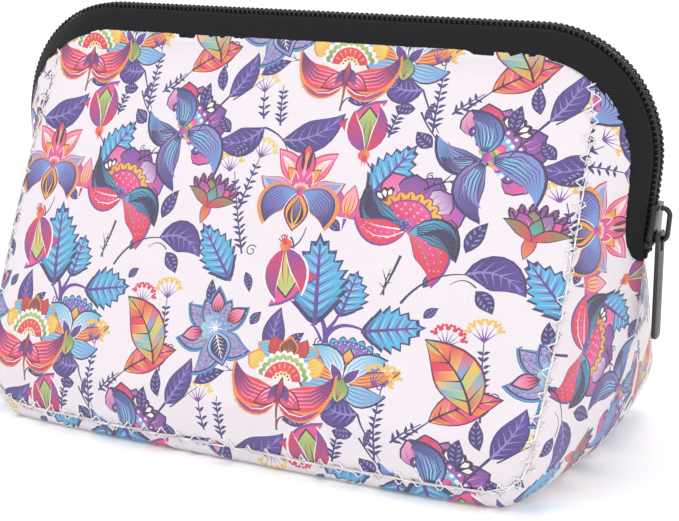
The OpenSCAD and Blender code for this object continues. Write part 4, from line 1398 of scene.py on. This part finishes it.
def zip_coils():
    """Two coils of nylon wire: slanted loops that meet in the middle, with a stitched cord along each."""
    nylon = hard_finish("black_nylon_coil", "#0c0c0e", "#202024", 0.30, 0.0, 700)
    thread = hard_finish("black_sewing_thread", "#141416", "#2c2c30", 0.55, 0.0, 1500)
    start = 3.0
    length = 2 * (TOP_S - start)
    turns = int(length / COIL_PITCH)

    def zip_at(distance):
        """Middle, outward and forward directions at a distance along the whole zip, right end to left end."""
        s = start + np.minimum(distance, length - distance)
        flip = np.where(distance > length / 2, -1.0, 1.0)[:, None] * [1, 0, 0] + [0, 1, 1]
        forward = np.gradient(zip_point(s) * flip, axis=0)
        return zip_point(s) * flip, zip_out(s) * flip, unit(forward)

    for name, node, side in (("front_coil_wire", "front_zip_coil", -1), ("back_coil_wire", "back_zip_coil", 1)):
        per = 16
        t = np.arange(turns * per) / per
        phase = 2 * math.pi * t
        shift = 0.25 if side > 0 else -0.25
        distance = np.clip((t + shift + 0.26 * np.cos(phase)) * COIL_PITCH, 0.5, length - 0.5)
        middle, out, _ = zip_at(distance)
        squeeze = np.clip(np.minimum(distance, length - distance) / 9.0 + 0.45, 0, 1)
        across = (1.62 + 1.42 * np.cos(phase)) * squeeze
        rise = 0.98 * np.sin(phase) + 0.28
        path = middle + out * rise[:, None] + np.array([0, side, 0]) * across[:, None]
        points, faces = tube(path, 0.40, 5, across=np.array([0.0, 1.0, 0.0]))
        wire = mesh_object(name, points, faces, nylon)
        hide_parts(node)
        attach(wire, "bag")
        # stitched cord beside the loops, humped over each turn
        d = np.arange(0, turns * 10) / 10 * COIL_PITCH + 0.4
        d = d[d < length - 0.5]
        middle, out, _ = zip_at(d)
        hump = np.abs(np.sin(math.pi * d / COIL_PITCH))
        squeeze = np.clip(np.minimum(d, length - d) / 9.0 + 0.45, 0, 1)
        path = middle + out * (0.72 + 0.62 * hump)[:, None] + np.array([0, side, 0]) * (2.42 * squeeze)[:, None]
        points, faces = tube(path, 0.30 + 0.12 * hump, 6)
        cord = mesh_object(name.replace("wire", "stitching"), points, faces, thread)
        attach(cord, "bag")


def zip_core():
    """Dark filler cord inside the closed coils, so that no light passes between the loops."""
    filler = hard_finish("black_filler_cord", "#0a0a0b", "#151517", 0.8, 0.0, 900)
    s = np.linspace(1.0, TOP_S, 160)
    half = zip_point(s)
    whole = np.vstack([half, (half * [-1, 1, 1])[-2::-1]])
    parts = []
    for y in (-1.5, 1.5, 0.0):
        parts.append(tube(whole + np.array([0, y, 0]) * np.clip(along(whole) / 9.0 + 0.2, 0, 1)[:, None]
                          * np.clip((along(whole)[-1] - along(whole)) / 9.0 + 0.2, 0, 1)[:, None], 0.72, 6))
    core = mesh_object("zip_filler_cord", *joined(parts), filler)
    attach(core, "bag")


def seam_stitches():
    """White overlock thread in a zigzag over each side seam and the hem, one stroke bolder than the other."""
    thread = sewing_thread()
    run = SEAM_RUN[-1]
    count = int(run / ZIGZAG_PITCH * 2)
    for name, face in (("front_zigzag_thread", 1), ("back_zigzag_thread", -1)):
        parts, places = [], []
        for side in (1, -1):
            seed = random.Random(7 * side + face)
            corners = []
            for i in range(count + 1):
                at = min(i * run / count + seed.uniform(-0.35, 0.35), run)
                at = max(at, 0)
                inward = (2.6 if i % 2 else -2.5) + seed.uniform(-0.35, 0.35)
                corners.append((at, inward))
            for (at0, in0), (at1, in1), i in zip(corners[:-1], corners[1:], range(count)):
                t = np.linspace(0, 1, 9)
                at, inward = mix(at0, at1, t), mix(in0, in1, t)
                bold = i % 2 == 0
                height = (0.30 if bold else 0.10) + (0.55 if bold else 0.35) * np.sin(math.pi * t) - 0.5 * (t < 0.02)
                height -= 0.5 * (t > 0.98)
                path = seam_spots(at, inward, height)
                path = path * [side, face, 1]
                points, faces = tube(path, 0.29 if bold else 0.23, 6)
                parts.append((points, faces))
                places.append(np.stack([np.repeat(t * 6, 6), np.tile(np.arange(6) * 0.25, 9)], 1))
        points, faces = joined(parts)
        piece = mesh_object(name, points, faces, thread, np.vstack(places))
        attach(piece, "bag")


def seam_spots(at, inward, height):
    """Places beside the seam: positive inward lies on the front panel, negative on the gusset."""
    spots = []
    for a, off, h in zip(at, inward, height):
        x = np.interp(a, SEAM_RUN, SEAM[:, 0])
        z = np.interp(a, SEAM_RUN, SEAM[:, 1])
        x1, z1 = np.interp(a + 1, SEAM_RUN, SEAM[:, 0]), np.interp(a + 1, SEAM_RUN, SEAM[:, 1])
        x0, z0 = np.interp(a - 1, SEAM_RUN, SEAM[:, 0]), np.interp(a - 1, SEAM_RUN, SEAM[:, 1])
        way = np.array([x1 - x0, z1 - z0])
        way = way / max(np.hypot(*way), 1e-6)
        if off >= 0:
            inside = np.array([way[1], -way[0]])
            if inside @ (np.array([0.0, 70.0]) - [x, z]) < 0:
                inside = -inside
            q = np.array([[x, z]]) + inside * off
            flat = np.stack([q[:, 0], np.interp(q[:, 1], panel_z, panel_v)], 1)
            spot = panel_points(flat, 0.0)[0]
            spots.append(spot + np.array([0, -1, 0.0]) * h * 0.9 + np.array([0.25, 0, 0]) * h)
        else:
            run_here = STRIP_SEAM_RUN[-1] - a
            strip_a = np.interp(run_here, STRIP_SEAM_RUN, STRIP_A)
            b_out = np.interp(strip_a, STRIP_A, STRIP_OUT)
            flat = np.array([[strip_a, -(b_out + off)]])
            spot = gusset_points(flat, 0.7)[0]
            out = unit(spot - np.array([spot[0] * 0.6, spot[1] * 0.45, 60.0]))
            spots.append(spot + out * h)
    return np.array(spots)


STRIP_SEAM_RUN = along(ROWS[:, 0])


def hardware():
    """Stops, slider and pull keep the frame's own shapes, with a softened edge, and take these finishes."""
    enamel = hard_finish("black_enamelled_zinc", "#08080a", "#16161a", 0.30, 0.0, 500, coat=0.35)
    tab_finish = hard_finish("dark_grey_painted_pull", "#232326", "#323236", 0.38, 0.0, 400, coat=0.15)
    stop_finish = hard_finish("black_moulded_stop", "#101012", "#1c1c20", 0.4, 0.0, 500)
    for node, name, body, slot_name, finish, soften in (
            ("slider_body", "slider_casting", "slider", "slider", enamel, 0.00035),
            ("pull_tab", "pull_tab_casting", "pull", "pull_tab", tab_finish, 0.00030),
            ("closed_end_stops", "closed_end_crimps", "bag", "zip_stop", stop_finish, 0.0002),
            ("open_end_stop", "open_end_clamp", "bag", "zip_stop", stop_finish, 0.0002)):
        piece = bpy.data.objects.new(name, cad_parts[node].data.copy())
        bpy.context.collection.objects.link(piece)
        piece.data.materials.clear()
        piece.data.materials.append(finish)
        merge = piece.modifiers.new("merge", "WELD")
        merge.merge_threshold = 0.00001
        bevel = piece.modifiers.new("softened_edges", "BEVEL")
        bevel.width, bevel.segments, bevel.limit_method = soften, 2, "ANGLE"
        bevel.angle_limit = math.radians(40)
        bpy.context.view_layer.objects.active = piece
        piece.select_set(True)
        for modifier in list(piece.modifiers):
            bpy.ops.object.modifier_apply(modifier=modifier.name)
        piece.data.polygons.foreach_set("use_smooth", [True] * len(piece.data.polygons))
        piece.data.set_sharp_from_angle(angle=math.radians(35))
        piece.select_set(False)
        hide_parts(node)
        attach(piece, body)


def studio():
    """White paper floor and three soft lights."""
    floor = mesh_object("paper_floor", [(-3000, -3000, -0.1), (3000, -3000, -0.1), (3000, 3000, -0.1), (-3000, 3000, -0.1)],
                        [(0, 1, 2, 3)], studio_floor(), smooth=False)
    world = bpy.data.worlds.new("white_room")
    world.use_nodes = True
    tree = world.node_tree
    background, path = tree.nodes["Background"], tree.nodes.new("ShaderNodeLightPath")
    strength = tree.nodes.new("ShaderNodeMapRange")
    strength.inputs["To Min"].default_value, strength.inputs["To Max"].default_value = 0.90, 1.02
    tree.links.new(path.outputs["Is Camera Ray"], strength.inputs["Value"])
    tree.links.new(strength.outputs[0], background.inputs["Strength"])
    background.inputs["Color"].default_value = (1, 1, 1, 1)
    bpy.context.scene.world = world
    bpy.context.scene.view_settings.view_transform = "Standard"
    area_light("key_light", (-0.45, -0.85, 0.95), (0, 0, 0.07), 0.55, 2.2)
    area_light("top_light", (0.15, 0.1, 1.1), (0, 0, 0.08), 0.5, 1.6)
    area_light("side_fill", (0.95, -0.55, 0.5), (0.1, 0, 0.07), 0.5, 1.4)


make_camera()
studio()
bag_cloth()
zip_tapes()
zip_coils()
zip_core()
seam_stitches()
hardware()
